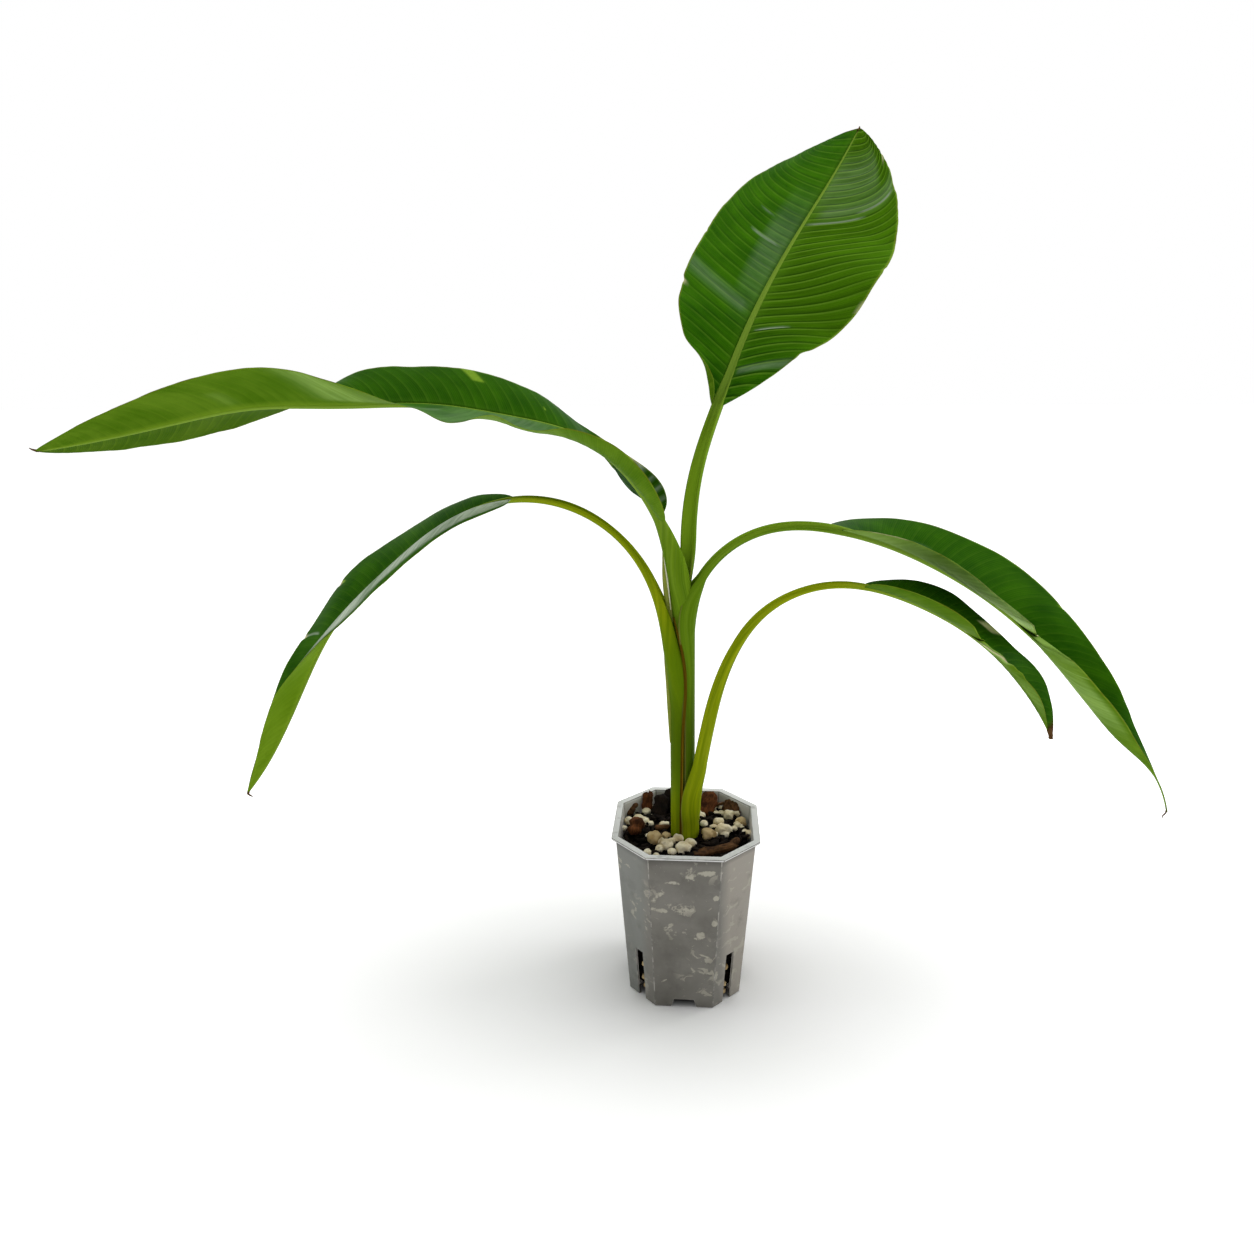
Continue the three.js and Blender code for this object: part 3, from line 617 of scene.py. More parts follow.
def make_stalk(name, finish):
    """A leaf's sheath, petiole and midrib in one length, hollow above and round below."""
    leaf = leaves[name]
    line, stalk, length = Midline(leaf), leaf["stalk"], leaf["length"]
    blade_at = leaf["blade_start"] * length
    start = stalk["bottom"] - leaf["foot"][2]
    stations = np.linspace(start, length - 0.5, int((length - start) / RING_STEP))
    arc = np.concatenate([np.linspace(0, 1, BACK_POINTS), np.linspace(1, 0, FRONT_POINTS)])
    inside = np.arange(len(arc)) >= BACK_POINTS
    even = np.ones(len(arc))
    points, uv, marks = [], [], []
    for mm in stations:
        radius, thick, edge, wrap, centre, side, up, left = stalk_station(leaf, line, mm)
        ring = stalk_ring(radius, thick, edge, wrap)
        points.append(centre + ring[:, :1] * side + ring[:, 1:] * up)
        span = math.radians(wrap[1] - wrap[0]) * radius
        uv.append(np.stack([arc * span / 100, even * mm / 100], -1))
        from_edge = np.minimum(arc, 1 - arc) * span
        rising = 1 - smooth((mm - stalk["leave"][1] + 15) / 50)
        marks.append({
            "margin": np.clip(1.3 - from_edge / 0.8, 0, 1) * (1 - left),
            "rim": np.clip(1 - from_edge / 0.35, 0, 1) * (1 - left),
            "rib": even * smooth((mm - blade_at + 20) / 50),
            # Painted shade on the stem, strongest 185 mm up
            "low": even * hump(centre[2], 185, 60) * (stalk["hue"] > 0.3),
            "sheath": even * rising * stalk["hue"] * smooth((centre[2] - 118) / 50),
            "dry": even * smooth((mm - length + 7) / 5),
            # Where painted light lightens the hollow front
            "inside": inside * (1 - smooth((mm - blade_at + 60) / 60)) * left,
        })
    joined = {mark: np.concatenate([row[mark] for row in marks]) for mark in marks[0]}
    faces = tube_faces(len(stations), len(arc))
    piece = make_piece(f"{name}_stalk", np.vstack(points), faces, [finish], np.vstack(uv), joined)
    seat(piece, STALK_NODES[name])


# Blades
def width_share(place, base, tip):
    widest = base / (base + tip)
    return (place / widest) ** base * ((1 - place) / (1 - widest)) ** tip


def hump(place, centre, reach):
    """A smooth rise from 0 to 1 and back, reach wide to each side of centre."""
    return 0.5 + 0.5 * np.cos(np.pi * np.clip((place - centre) / reach, -1, 1))


def wander(values, seed, step):
    """One smooth random value between -1 and 1 for each number, the same on each run."""
    knots = np.random.default_rng(seed).uniform(-1, 1, 600)
    place = values / step + 90
    i = np.clip(place.astype(int), 0, 598)
    f = place - i
    f = f * f * (3 - 2 * f)
    return knots[i] * (1 - f) + knots[i + 1] * f


def lean_of(half, place, out):
    """The blade's angle above level, in radians, at a place along it and a share of the way out."""
    lean = along(half["fold"], place) + along(half["bow"], place) * (1 - 2 * out)
    for centre, reach, degrees, start in half["curls"]:
        lean = lean + degrees * hump(place, centre, reach) * smooth((out - start) / (1 - start))
    return np.radians(lean)


def patch(spots, root, out):
    """Marks small patches that follow the veins."""
    mark = np.zeros_like(root * out)
    for place, reach, inner, outer in spots:
        inside = smooth((out - inner) / 0.06 + 0.3) * smooth((outer - out) / 0.06 + 1)
        mark = np.maximum(mark, smooth(1.8 * hump(root, place, reach) - 0.3) * inside)
    return mark


def half_marks(leaf, half, root, place, out):
    """What a half blade's finish shows at each point."""
    pale = np.zeros_like(place)
    # The pale mark: painted highlights in streaks along the veins
    for where, width, inner, outer, strength in half["pale"]:
        ends = smooth((out - inner) / 0.12 + 0.5) * smooth((outer - out) / 0.12 + 0.5)
        pale = np.maximum(pale, strength * hump(root, where, width) * ends)
    lit_from, lit_share = half["lit"]
    span = leaf["length"] * (1 - leaf["blade_start"])
    return {
        "lines": np.full_like(place, half["pleats"][2]),
        # Painted shade over the whole half, and painted light from a place on
        "shade": np.full_like(place, half["shade"]),
        "lit": lit_share * smooth((place - lit_from) / 0.25),
        "pale": pale,
        "fresh": patch(half["fresh"], root, out),
        "dry": patch(half["dry"], root, out),
        "dead": smooth((place * span - span + leaf["dead"]) / (0.6 * leaf["dead"])),
    }


def half_blade(leaf, which, seed, foliage):
    """Upper and lower points of a half blade, in rows along its veins, with its skin, marks and side."""
    half = leaf[which]
    line = Midline(leaf)
    sign = 1 if which == "left" else -1
    start = leaf["blade_start"] * leaf["length"]
    span = leaf["length"] - start
    root = np.linspace(0, 1, int(span / ROW_STEP) + 1)[:, None]
    out = np.linspace(0, 1, COLUMNS + 1)[None]
    slope, growth = half["sweep"]
    run = half["width"] / span * 4 * root * (1 - root) * (slope * out + growth * (1 + 2 * root) * out**2)
    place = np.clip(root + run, 0.002, 0.998)
    mm = start + place * span
    centre, side = line.point(mm), sign * line.sideways(mm)
    up = np.cross(line.forward(mm), line.sideways(mm))
    rib = mix(leaf["stalk"]["petiole"][-1], RIB_TIP, place**0.8)
    reach = half["width"] * width_share(np.minimum(place / half["end"], 0.999), half["base"], half["tip"])
    for where, before, after, depth in half["nicks"]:
        bite = np.clip(1 - np.abs(root - where) / np.where(root < where, before, after), 0, 1)
        reach = reach * (1 - depth * bite * out ** (3 * (1 - depth) ** 4))
    reach = reach * (1 + 0.006 * wander(root * span, seed, 9.0))
    reach = np.maximum(reach, 0.5)
    steps = (np.arange(BELLY_STEPS) + 0.5) / BELLY_STEPS
    leans = lean_of(half, place[..., None], out[..., None] * steps)
    belly = reach / np.sinc(along(half["bow"], place) / 180)
    flat = rib * 0.9 + belly * out * np.cos(leans).mean(-1)
    rise = belly * out * np.sin(leans).mean(-1)
    spacing, depth, _ = half["pleats"]
    phase = root * span / spacing + 0.25 * wander(root * span, seed + 1, 16.0)
    crest = (0.5 + 0.5 * np.cos(2 * np.pi * phase)) ** 0.8
    grown = smooth(out / 0.1) * (1 - 0.45 * out**3) * smooth(reach / 12)
    lift = depth * foliage.pleat_depth * (crest - 0.5) * grown * (0.8 + 0.4 * wander(phase, seed + 2, 1.7))
    for where, width, height in half["ripples"]:
        lift = lift + height * hump(place, where, width) * out**2
    lift = lift + 0.35 * wander(root * span, seed + 3, 12.0) * out**3 * smooth(reach / 15)
    lean = lean_of(half, place, out)
    sidewards, upwards = flat - np.sin(lean) * lift, rise + np.cos(lean) * lift
    middle = centre + side * sidewards[..., None] + up * upwards[..., None]
    normal = np.cross(np.gradient(middle, axis=0), np.gradient(middle, axis=1))
    normal *= sign / np.maximum(np.linalg.norm(normal, axis=-1, keepdims=True), 1e-9)
    thick = foliage.blade_thickness / MM / 2 * mix(1, 0.45, out)[..., None]
    skin = np.stack(np.broadcast_arrays(phase, out), -1)
    marks = half_marks(leaf, half, root, place, out)
    return middle + normal * thick, middle - normal * thick, skin, marks, sign


def make_half(name, which, seed, finishes, foliage):
    upper, lower, skin, marks, sign = half_blade(leaves[name], which, seed, foliage)
    rows, columns = upper.shape[:2]
    count = rows * columns
    points = np.vstack([upper.reshape(-1, 3), lower.reshape(-1, 3)])
    faces, finish_of = [], []

    def add(face, finish):
        faces.append(face if sign > 0 else face[::-1])
        finish_of.append(finish)

    for r in range(rows - 1):
        for c in range(columns - 1):
            a, b = r * columns + c, r * columns + c + 1
            d, e = a + columns, b + columns
            add((a, d, e, b), 0)
            add((a + count, b + count, e + count, d + count), 1)
        for c in (0, columns - 1):
            a = r * columns + c
            b = a + columns
            quad = (a, b, b + count, a + count)
            add(quad if c else quad[::-1], 0)
    for r in (0, rows - 1):
        for c in range(columns - 1):
            a = r * columns + c
            quad = (a, a + 1, a + 1 + count, a + count)
            add(quad if r == 0 else quad[::-1], 0)
    both = {mark: np.tile(values.ravel(), 2) for mark, values in marks.items()}
    uv = np.tile(skin.reshape(-1, 2), (2, 1))
    return make_piece(f"{name}_blade_{which}", points, faces, finishes, uv, both, finish_of)


# Tips: the dry thread at the end of each leaf, as (right, back, up) steps in mm and radii
TIPS = {
    "upright": ([(0, 0, 0), (0.6, 0.3, 1.0), (0.9, 0.4, 1.9), (0.8, 0.5, 2.6)], (0.9, 0.7, 0.5, 0.2)),
    "long": ([(0, 0, 0), (-2.0, 0, 0.2), (-4.0, 0, 0.8), (-5.5, 0, 1.6)], (0.9, 0.7, 0.5, 0.2)),
    "left": ([(0, 0, 0), (-0.6, 0, -1.6), (0.8, 0, -3.0), (2.8, 0, -4.0)], (1.0, 0.9, 0.7, 0.3)),
    "right": ([(0, 0, 0), (-0.4, 0, -2.5), (-1.8, 0, -4.5), (-2.2, 0, -6.5)], (0.7, 0.6, 0.5, 0.3)),
    "small": ([(-1.4, 0, 4), (0.2, 0, 0), (0.2, 0, -1.5), (1.8, 0, -2.0)], (1.5, 1.4, 1.2, 0.4)),
}


def make_tip(name, finish):
    """A thin curled thread of dead tissue that runs on from the midrib."""
    steps, radii = TIPS[name]
    leaf = leaves[name]
    line = np.array(steps, float) + Midline(leaf).point(leaf["length"] - 2.0)
    share = np.linspace(0, 1, 28)
    centre = np.stack([along(line[:, k], share) for k in range(3)], -1)
    radius = along(radii, share)
    forward = np.gradient(centre, axis=0)
    forward /= np.linalg.norm(forward, axis=1, keepdims=True)
    side = np.cross(forward, (0, 1, 0))
    side /= np.linalg.norm(side, axis=1, keepdims=True)
    up = np.cross(side, forward)
    turn = np.linspace(0, 2 * np.pi, 10, endpoint=False)
    wave = np.cos(turn)[None, :, None] * side[:, None] + 0.7 * np.sin(turn)[None, :, None] * up[:, None]
    points = centre[:, None] + radius[:, None, None] * wave
    uv = np.zeros((points.size // 3, 2))
    faces = tube_faces(len(share), len(turn))
    seat(make_piece(f"{name}_tip", points.reshape(-1, 3), faces, [finish], uv))


# Pot
FLAT_SHARE = 0.515        # length of a flat side as a share of the pot's width
RIM_DEPTH = 0.0018
RIM_LIP = 0.0048          # width of the rim's flat top
BODY_TOP = 0.047          # half width across the flats, under the rim and at the foot
BODY_FOOT = 0.03885
BODY_HIGH = 0.122         # height of the wall under the rim
WALL = 0.0017             # thickness of the foot's wall
FLOOR_LOW = 0.006
FLOOR_HIGH = 0.008
PAD_RADIUS = 0.011
PAD_GAP = 0.0002          # between the pad and the floor above it
SLOT_SIZE = (0.0155, 0.0070, 0.0395)
SLOT_PLACE = 0.044        # from the pot's middle to the middle of a slot
NOTCH_SIZE = (0.0178, 0.01, 0.006)
NOTCH_NARROW = 0.0138     # width of a notch at its top
BELOW = 0.001             # how far a cutter reaches below the pot


def apply_modifier(piece, kind, **settings):
    modifier = piece.modifiers.new(kind.title(), kind)
    for name, value in settings.items():
        setattr(modifier, name, value)
    with bpy.context.temp_override(object=piece, active_object=piece, selected_objects=[piece]):
        bpy.ops.object.modifier_apply(modifier=modifier.name)


def settle(piece):
    """Leaves the piece's place in its mesh, with its object at the origin."""
    choose(piece)
    bpy.ops.object.transform_apply(location=True, rotation=True, scale=True)


def octagon_profile(stations):
    """A solid drawn up from an octagonal sheet through (half width, height) stations."""
    half, height = stations[0]
    deselect()
    bpy.ops.mesh.primitive_plane_add(size=2 * half, location=(0, 0, height))
    piece = bpy.context.object
    bpy.ops.object.mode_set(mode="EDIT")
    bpy.ops.mesh.select_all(action="SELECT")
    corner = half * (1 - FLAT_SHARE)
    bpy.ops.mesh.bevel(offset=corner, affect="VERTICES", offset_type="OFFSET", segments=1)
    bpy.ops.mesh.select_all(action="SELECT")
    for wide, high in stations[1:]:
        move = {"value": (0, 0, high - height), "constraint_axis": (False, False, True)}
        bpy.ops.mesh.extrude_region_move(TRANSFORM_OT_translate=move)
        share = wide / half
        bpy.ops.transform.resize(value=(share, share, 1), center_override=(0, 0, high))
        half, height = wide, high
    bpy.ops.mesh.select_all(action="SELECT")
    bpy.ops.mesh.normals_make_consistent(inside=False)
    bpy.ops.object.mode_set(mode="OBJECT")
    settle(piece)
    return piece


def cut(piece, cutter):
    apply_modifier(piece, "BOOLEAN", operation="DIFFERENCE", object=cutter, solver="EXACT")
    bpy.data.objects.remove(cutter)


def foot_cutter(x, y, size, turn, narrow=1):
    """A block that reaches up from below the pot, narrowed at its top and turned about the pot's middle."""
    length, width, height = size
    deselect()
    bpy.ops.mesh.primitive_cube_add(size=1, location=(x, y, (height - BELOW) / 2))
    cutter = bpy.context.object
    cutter.scale = (length, width, height + BELOW)
    settle(cutter)
    for corner in cutter.data.vertices:
        if corner.co.z > 0:
            corner.co.x = mix(x, corner.co.x, narrow)
    cutter.rotation_euler = (0, 0, turn)
    settle(cutter)
    return cutter


# Pale scuffs on the front of the pot: (x, z, half length, half width, tilt), in mm and degrees
SCUFFS = [
    (-18, 92, 5.5, 1.5, 50), (-6, 103, 8, 1.1, 5), (3.5, 109.5, 5.5, 3.2, 50), (15, 111, 9, 1.6, 3),
    (1.4, 81.6, 4.6, 2.6, 12), (-15.6, 80.6, 6.5, 1.3, -12), (9.8, 61, 4, 2.4, 22), (20, 72.6, 1.8, 2.4, 0),
    (21, 92, 2.2, 1.2, 60), (-9, 68, 3, 0.8, 30), (14, 44, 3.4, 0.7, -20), (18, 30, 4, 0.9, 10),
    (-14, 22, 3, 0.7, 35),
]
FRONT = -0.0385           # Y of what counts as the front face
TALL = 8.0                # heights times this run from 0 to 1 over the pot
INSIDE_FROM = 0.0008      # how far in from the outer wall the painted light inside starts
HOLLOW_TOP = FLOOR_HIGH - 0.0005      # what is lower than this inside the pot is under its floor, and gets painted shade
POT_DEEP = (0.122, 0.115, 0.098)
POT_LIGHT = (0.195, 0.186, 0.164)
POT_LEFT_LIT = (0.185, 0.20, 0.185)
POT_RIGHT_LIT = (0.33, 0.30, 0.255)
POT_SCUFF = (0.40, 0.38, 0.31)
POT_SPECK = (0.46, 0.44, 0.38)
POT_GRIME = (0.07, 0.065, 0.055)
POT_RIM_SHADOW = (0.05, 0.047, 0.04)
POT_INSIDE_LIT = (0.55, 0.535, 0.51)
POT_HOLLOW_SHADE = (0.02, 0.018, 0.016)
POT_RIM = ((0.66, 0.665, 0.655), (0.22, 0.21, 0.19))
POT_EDGE = ((0.15, 0.145, 0.13), (0.36, 0.345, 0.31))


def scuff_cover(pot, x, z, front):
    """How much a pale scuff covers each place: ragged ovals, joined, on the front face only."""
    spread = pot.noise(210, 4, 0.65)
    cover = 0.0
    for place_x, place_z, length, width, tilt in SCUFFS:
        dx, dz = pot.minus(x, place_x * MM), pot.minus(z, place_z * MM)
        c, s = math.cos(math.radians(tilt)), math.sin(math.radians(tilt))
        lengthwise = pot.plus(pot.times(dx, c), pot.times(dz, s))
        across = pot.minus(pot.times(dz, c), pot.times(dx, s))
        a = pot.math("POWER", pot.math("DIVIDE", lengthwise, 1.2 * length * MM), 2)
        b = pot.math("POWER", pot.math("DIVIDE", across, 1.4 * width * MM), 2)
        far = pot.plus(pot.plus(a, b), pot.times(spread, 6.0))
        cover = pot.larger(cover, pot.math("MULTIPLY", pot.minus(3.8, far), 1.5, clamp=True))
    return pot.times(cover, front)


def pot_plastic():
    """Grey recycled plastic, scuffed in front: painted shadow under the rim, painted light inside."""
    pot = Finish("pot_plastic", Specular_IOR_Level=0.3)
    x, y, z = pot.split(pot.where)
    soft = pot.noise(24, 4, 0.6)
    pot.body = pot.blend(pot.rise(soft, 0.35, 0.65), POT_DEEP, POT_LIGHT)
    # Painted light: the faces on the left and on the right lighter than the front, the right more so
    left, right = (pot.rise(pot.times(x, side), 0.24, 0.30) for side in (-10.0, 10.0))
    pot.coat(left, POT_LEFT_LIT, 0.55)
    pot.coat(right, POT_RIGHT_LIT, 0.7)
    crust = pot.noise(105, 4, 0.6, 0.6, pot.stretch((1, 1, 1.3)))
    zones = pot.larger(pot.rise(pot.noise(26, 2, 0.5), 0.44, 0.60), pot.times(right, 0.8))
    worn = pot.times(pot.rise(crust, 0.575, 0.605), zones)
    scuffs = scuff_cover(pot, x, z, pot.math("LESS_THAN", y, FRONT))
    pale = pot.larger(pot.times(worn, 0.75), scuffs)
    pot.coat(pale, POT_SCUFF, 0.9)
    pot.coat(pot.fall(pot.cells(260), 0.04, 0.09), POT_SPECK, 0.35)
    pot.coat(pot.fall(pot.noise(70, 5, 0.65), 0.30, 0.46), POT_GRIME, 0.35)
    height = pot.times(z, TALL)
    # Painted shadow: a dark band on the wall just under the rim
    pot.coat(pot.rise(height, 0.925, 0.965), POT_RIM_SHADOW, 0.7)
    wide, deep = pot.math("ABSOLUTE", x), pot.math("ABSOLUTE", y)
    half = pot.larger(pot.larger(wide, deep), pot.math("DIVIDE", pot.plus(wide, deep), 1 + FLAT_SHARE))
    wall = pot.plus(pot.times(z, (BODY_TOP - BODY_FOOT) / BODY_HIGH), BODY_FOOT - INSIDE_FROM)
    inside = pot.math("LESS_THAN", half, wall)
    # Painted light: the inside of the pot made pale
    pot.coat(inside, POT_INSIDE_LIT)
    # Painted shade in the hollow under the pot's floor
    pot.coat(pot.times(inside, pot.math("LESS_THAN", z, HOLLOW_TOP)), POT_HOLLOW_SHADE)
    smudge = pot.fall(pot.noise(75, 3, 0.6), 0.30, 0.38)
    pot.coat(pot.rise(height, 0.976, 0.979), pot.blend(pot.times(smudge, 0.4), *POT_RIM))
    rough = pot.plus(pot.times(pale, 0.15), pot.times(soft, 0.9))
    grain = pot.plus(pot.times(pot.noise(900, 3, 0.6), 0.5), pot.times(pale, 0.6))
    return pot.done(grain, 0.00015, 0.4, Roughness=rough)


def worn_edge():
    """The pale line that rubbing leaves along the pot's edges."""
    edge = Finish("pot_worn_edge", Roughness=0.6, Specular_IOR_Level=0.3)
    patchy = edge.rise(edge.noise(140, 3, 0.6), 0.46, 0.62)
    edge.feed(edge.shader, {"Base Color": edge.blend(patchy, *POT_EDGE)})
    return edge.material


def make_pot():
    """The pot, drawn from under its floor round the foot, up the wall, over the rim and down inside."""
    top = pot_high.z
    rim_low = top - RIM_DEPTH
    rim_half = pot_high.x
    lip = rim_half - RIM_LIP
    inner_foot = BODY_FOOT - WALL
    pot = octagon_profile([
        (inner_foot, FLOOR_LOW), (inner_foot - 0.0004, 0), (BODY_FOOT, 0), (BODY_TOP, rim_low),
        (rim_half - 0.0005, rim_low), (rim_half, top), (lip, top), (lip - 0.0002, top - 0.004),
        (BODY_FOOT - 0.0010, FLOOR_HIGH),
    ])
    pot.name = pot.data.name = "nursery_pot"
    for side in range(4):
        turn = side * math.pi / 2
        cut(pot, foot_cutter(SLOT_PLACE, 0, SLOT_SIZE, turn + math.pi / 4))
        cut(pot, foot_cutter(0, -BODY_FOOT, NOTCH_SIZE, turn, NOTCH_NARROW / NOTCH_SIZE[0]))
    pot.data.materials.clear()
    plastic = pot_plastic()
    pot.data.materials.append(plastic)
    pot.data.materials.append(worn_edge())
    sharp = {"limit_method": "ANGLE", "angle_limit": math.radians(25)}
    apply_modifier(pot, "BEVEL", width=0.0004, segments=2, material=1, **sharp)
    choose(pot)
    bpy.ops.object.shade_smooth_by_angle(angle=math.radians(30))
    seat(pot, ["pot"])
    deselect()
    tall = FLOOR_LOW - PAD_GAP
    middle = (0, 0, tall / 2)
    bpy.ops.mesh.primitive_cylinder_add(vertices=48, radius=PAD_RADIUS, depth=tall, location=middle)
    pad = bpy.context.object
    pad.name = pad.data.name = "pot_foot_pad"
    apply_modifier(pad, "BEVEL", width=0.0006, segments=3, limit_method="ANGLE")
    settle(pad)
    pad.data.materials.append(plastic)
    seat(pad)


# Growing medium, pumice and bark
SOIL_EDGE = 113.6         # height of the medium at the pot's wall, in mm
SOIL_FOOT = 8.3
SOIL_CLEAR = 3.4          # how far the medium stays inside the pot's outer wall
SOIL_SIDES = 220          # points to a ring, rings up the wall and rings over the top
SOIL_ROWS = 46
SOIL_RINGS = 50
SOIL_LUMPS = [(5.5, 2.2, 3), (2.1, 1.3, 7), (0.9, 0.5, 11)]      # (width, height, layer of the noise)
SOIL_COLOURS = [
    (0.30, (0.001, 0.0008, 0.0007)), (0.55, (0.003, 0.0022, 0.0016)),
    (0.66, (0.018, 0.010, 0.006)), (0.80, (0.07, 0.04, 0.022)),
]
PUMICE_PALE = ((0.80, 0.73, 0.55), (0.56, 0.45, 0.26))
PUMICE_TAN = ((0.50, 0.38, 0.20), (0.34, 0.23, 0.10))
PUMICE_PORE_SHADE = (0.10, 0.08, 0.055)
PUMICE_STAIN = (0.14, 0.10, 0.06)


def soil_height(x, y):
    dome = 2 * (1 - min(math.hypot(x, y) / 44, 1) ** 2)
    waves = 0.7 * math.sin(x / 5.3 + 1) * math.cos(y / 4.7) + 0.5 * math.sin(x / 3.1 - y / 6.3)
    return SOIL_EDGE + dome + waves


def body_half(z):
    return mix(BODY_FOOT, BODY_TOP, z * MM / (pot_high.z - RIM_DEPTH)) / MM


def octagon_reach(angle, half):
    c, s = abs(math.cos(angle)), abs(math.sin(angle))
    return min(half / max(c, s), half * (1 + FLAT_SHARE) / (c + s))


def medium_finish():
    peat = Finish("bark_and_peat", Roughness=0.9, Specular_IOR_Level=0.05)
    crumbs = peat.noise(190, 6, 0.7, 0.4)
    peat.body = peat.ramp(crumbs, SOIL_COLOURS)
    fibres = peat.noise(420, 4, 0.6, where=peat.stretch((1, 3, 1)))
    return peat.done(peat.plus(crumbs, peat.times(fibres, 0.4)), 0.0022, 0.8)


def make_medium():
    """Rings up the wall, dented between crumbs, and then rings inwards over the lumpy top."""
    turns = [2 * math.pi * i / SOIL_SIDES for i in range(SOIL_SIDES)]
    points = []
    for row in range(SOIL_ROWS):
        z = mix(SOIL_FOOT, SOIL_EDGE - 1.5, row / (SOIL_ROWS - 1))
        for angle in turns:
            reach = octagon_reach(angle, body_half(z) - SOIL_CLEAR)
            spot = Vector((reach * math.cos(angle), reach * math.sin(angle), z))
            dent = 1.4 * (0.5 + 0.5 * noise.noise(spot / 3.2)) + 0.7 * (0.5 + 0.5 * noise.noise(spot / 1.3))
            points.append((spot.x * (1 - dent / reach), spot.y * (1 - dent / reach), z))
    for share in np.linspace(1, 0.02, SOIL_RINGS):
        for angle in turns:
            reach = octagon_reach(angle, body_half(SOIL_EDGE) - SOIL_CLEAR - 0.8) * share
            x, y = reach * math.cos(angle), reach * math.sin(angle)
            z = soil_height(x, y) - 1.6
            for wide, tall, layer in SOIL_LUMPS:
                z += tall * noise.noise(Vector((x / wide, y / wide, layer)))
            points.append((x, y, z))
    faces = tube_faces(SOIL_ROWS + SOIL_RINGS, SOIL_SIDES)
    seat(make_piece("potting_mix", points, faces, [medium_finish()]), ["growing_medium"])


def pumice_finish(name, pale, tan):
    stone = Finish(name, Roughness=0.85, Specular_IOR_Level=0.1)
    stone.body = stone.blend(stone.rise(stone.noise(130, 4, 0.6), 0.42, 0.66), pale, tan)
    # Painted shade in the pores, which the bump also dents
    pores = stone.fall(stone.cells(1500), 0.10, 0.28)
    holes = stone.times(pores, stone.rise(stone.noise(500, 2, 0.5), 0.5, 0.62))
    stone.coat(holes, PUMICE_PORE_SHADE, 0.6)
    stone.coat(stone.rise(stone.noise(85, 3, 0.6), 0.56, 0.72), PUMICE_STAIN, 0.5)
    return stone.done(stone.minus(stone.noise(900, 5, 0.65), stone.times(holes, 0.8)), 0.0004, 0.7)


def lump_template(subdivisions):
    """Points and faces of a unit ball, taken from a modelled one."""
    deselect()
    bpy.ops.mesh.primitive_ico_sphere_add(subdivisions=subdivisions, radius=1)
    ball = bpy.context.object
    points = np.array([corner.co for corner in ball.data.vertices])
    faces = [tuple(face.vertices) for face in ball.data.polygons]
    bpy.data.objects.remove(ball)
    return points, faces


def lump(template, centre, size, seed):
    """A knobbly stone: the ball pushed in and out by seeded noise, then sized and turned."""
    points, faces = template
    shift = Vector((seed * 7.3, seed * 3.1, seed * 5.7))
    swell = np.array([
        1 + 0.22 * noise.noise(Vector(p) * 1.25 + shift) + 0.066 * noise.noise(Vector(p) * 3.7 + shift)
        for p in points
    ])
    flats = np.minimum(swell[:, None] * points, 0.86 + 0.1 * math.sin(seed))
    turned = flats * np.array(size) @ np.array(Matrix.Rotation(seed * 1.7, 3, "Z"))
    return turned + np.array(centre), faces


def join(name, parts, finish):
    """One piece from parts of points and faces, or of points, faces and uv."""
    points, part_faces, *uv = zip(*parts)
    faces, offset = [], 0
    for own_points, own_faces in zip(points, part_faces):
        faces.extend(tuple(i + offset for i in face) for face in own_faces)
        offset += len(own_points)
    return make_piece(name, np.vstack(points), faces, [finish], np.vstack(uv[0]) if uv else None)


# Pebbles beside those of the solids: [x, y, radius, squash], in mm
SMALL_PEBBLES = [
    (-44.0, 5.5, 2.3, 0.8), (-25.9, -7.5, 2.4, 0.9), (12.4, 9.6, 2.9, 0.9), (18.8, 6.2, 2.8, 0.9),
    (33.9, 7.6, 2.2, 0.7), (35.4, 27.4, 2.9, 0.9), (43.6, -0.6, 3.2, 0.9), (-14.2, 8.2, 2.4, 0.8),
    (-25.4, -29.0, 3.0, 0.8), (-19.5, -30.5, 2.2, 0.9), (-17.5, -23.2, 2.9, 0.9), (-8.8, -27.6, 3.1, 0.8),
    (-37.6, 14.6, 3.4, 0.8), (-25.4, 9.6, 2.6, 0.8), (-17.0, -15.6, 3.0, 0.8), (29.9, 3.9, 2.9, 0.7),
    (-9.2, -15.0, 2.8, 0.9), (36.0, 13.0, 3.1, 0.8), (20.0, -3.0, 2.4, 0.8),
]
TAN_PEBBLES = {4, 5, 10, 14}
LUMP_SWELL = 1.18         # how much larger a lump is than its solid
SCATTER_REACH = 42        # how far from the pot's middle loose pieces are scattered, in mm
BEHIND_STEM = -2          # loose pebbles lie further back than this Y, in mm


def scatter(count, seed, clear):
    """Seeded places on the medium, clear of the stem and inside the pot."""
    rng = random.Random(seed)
    found = []
    while len(found) < count:
        x, y = (rng.uniform(-SCATTER_REACH, SCATTER_REACH) for axis in "xy")
        inside = math.hypot(x, y) < octagon_reach(math.atan2(y, x), SCATTER_REACH)
        if inside and math.hypot(x + 1.5, y + 0.5) > clear:
            found.append((x, y, rng))
    return found


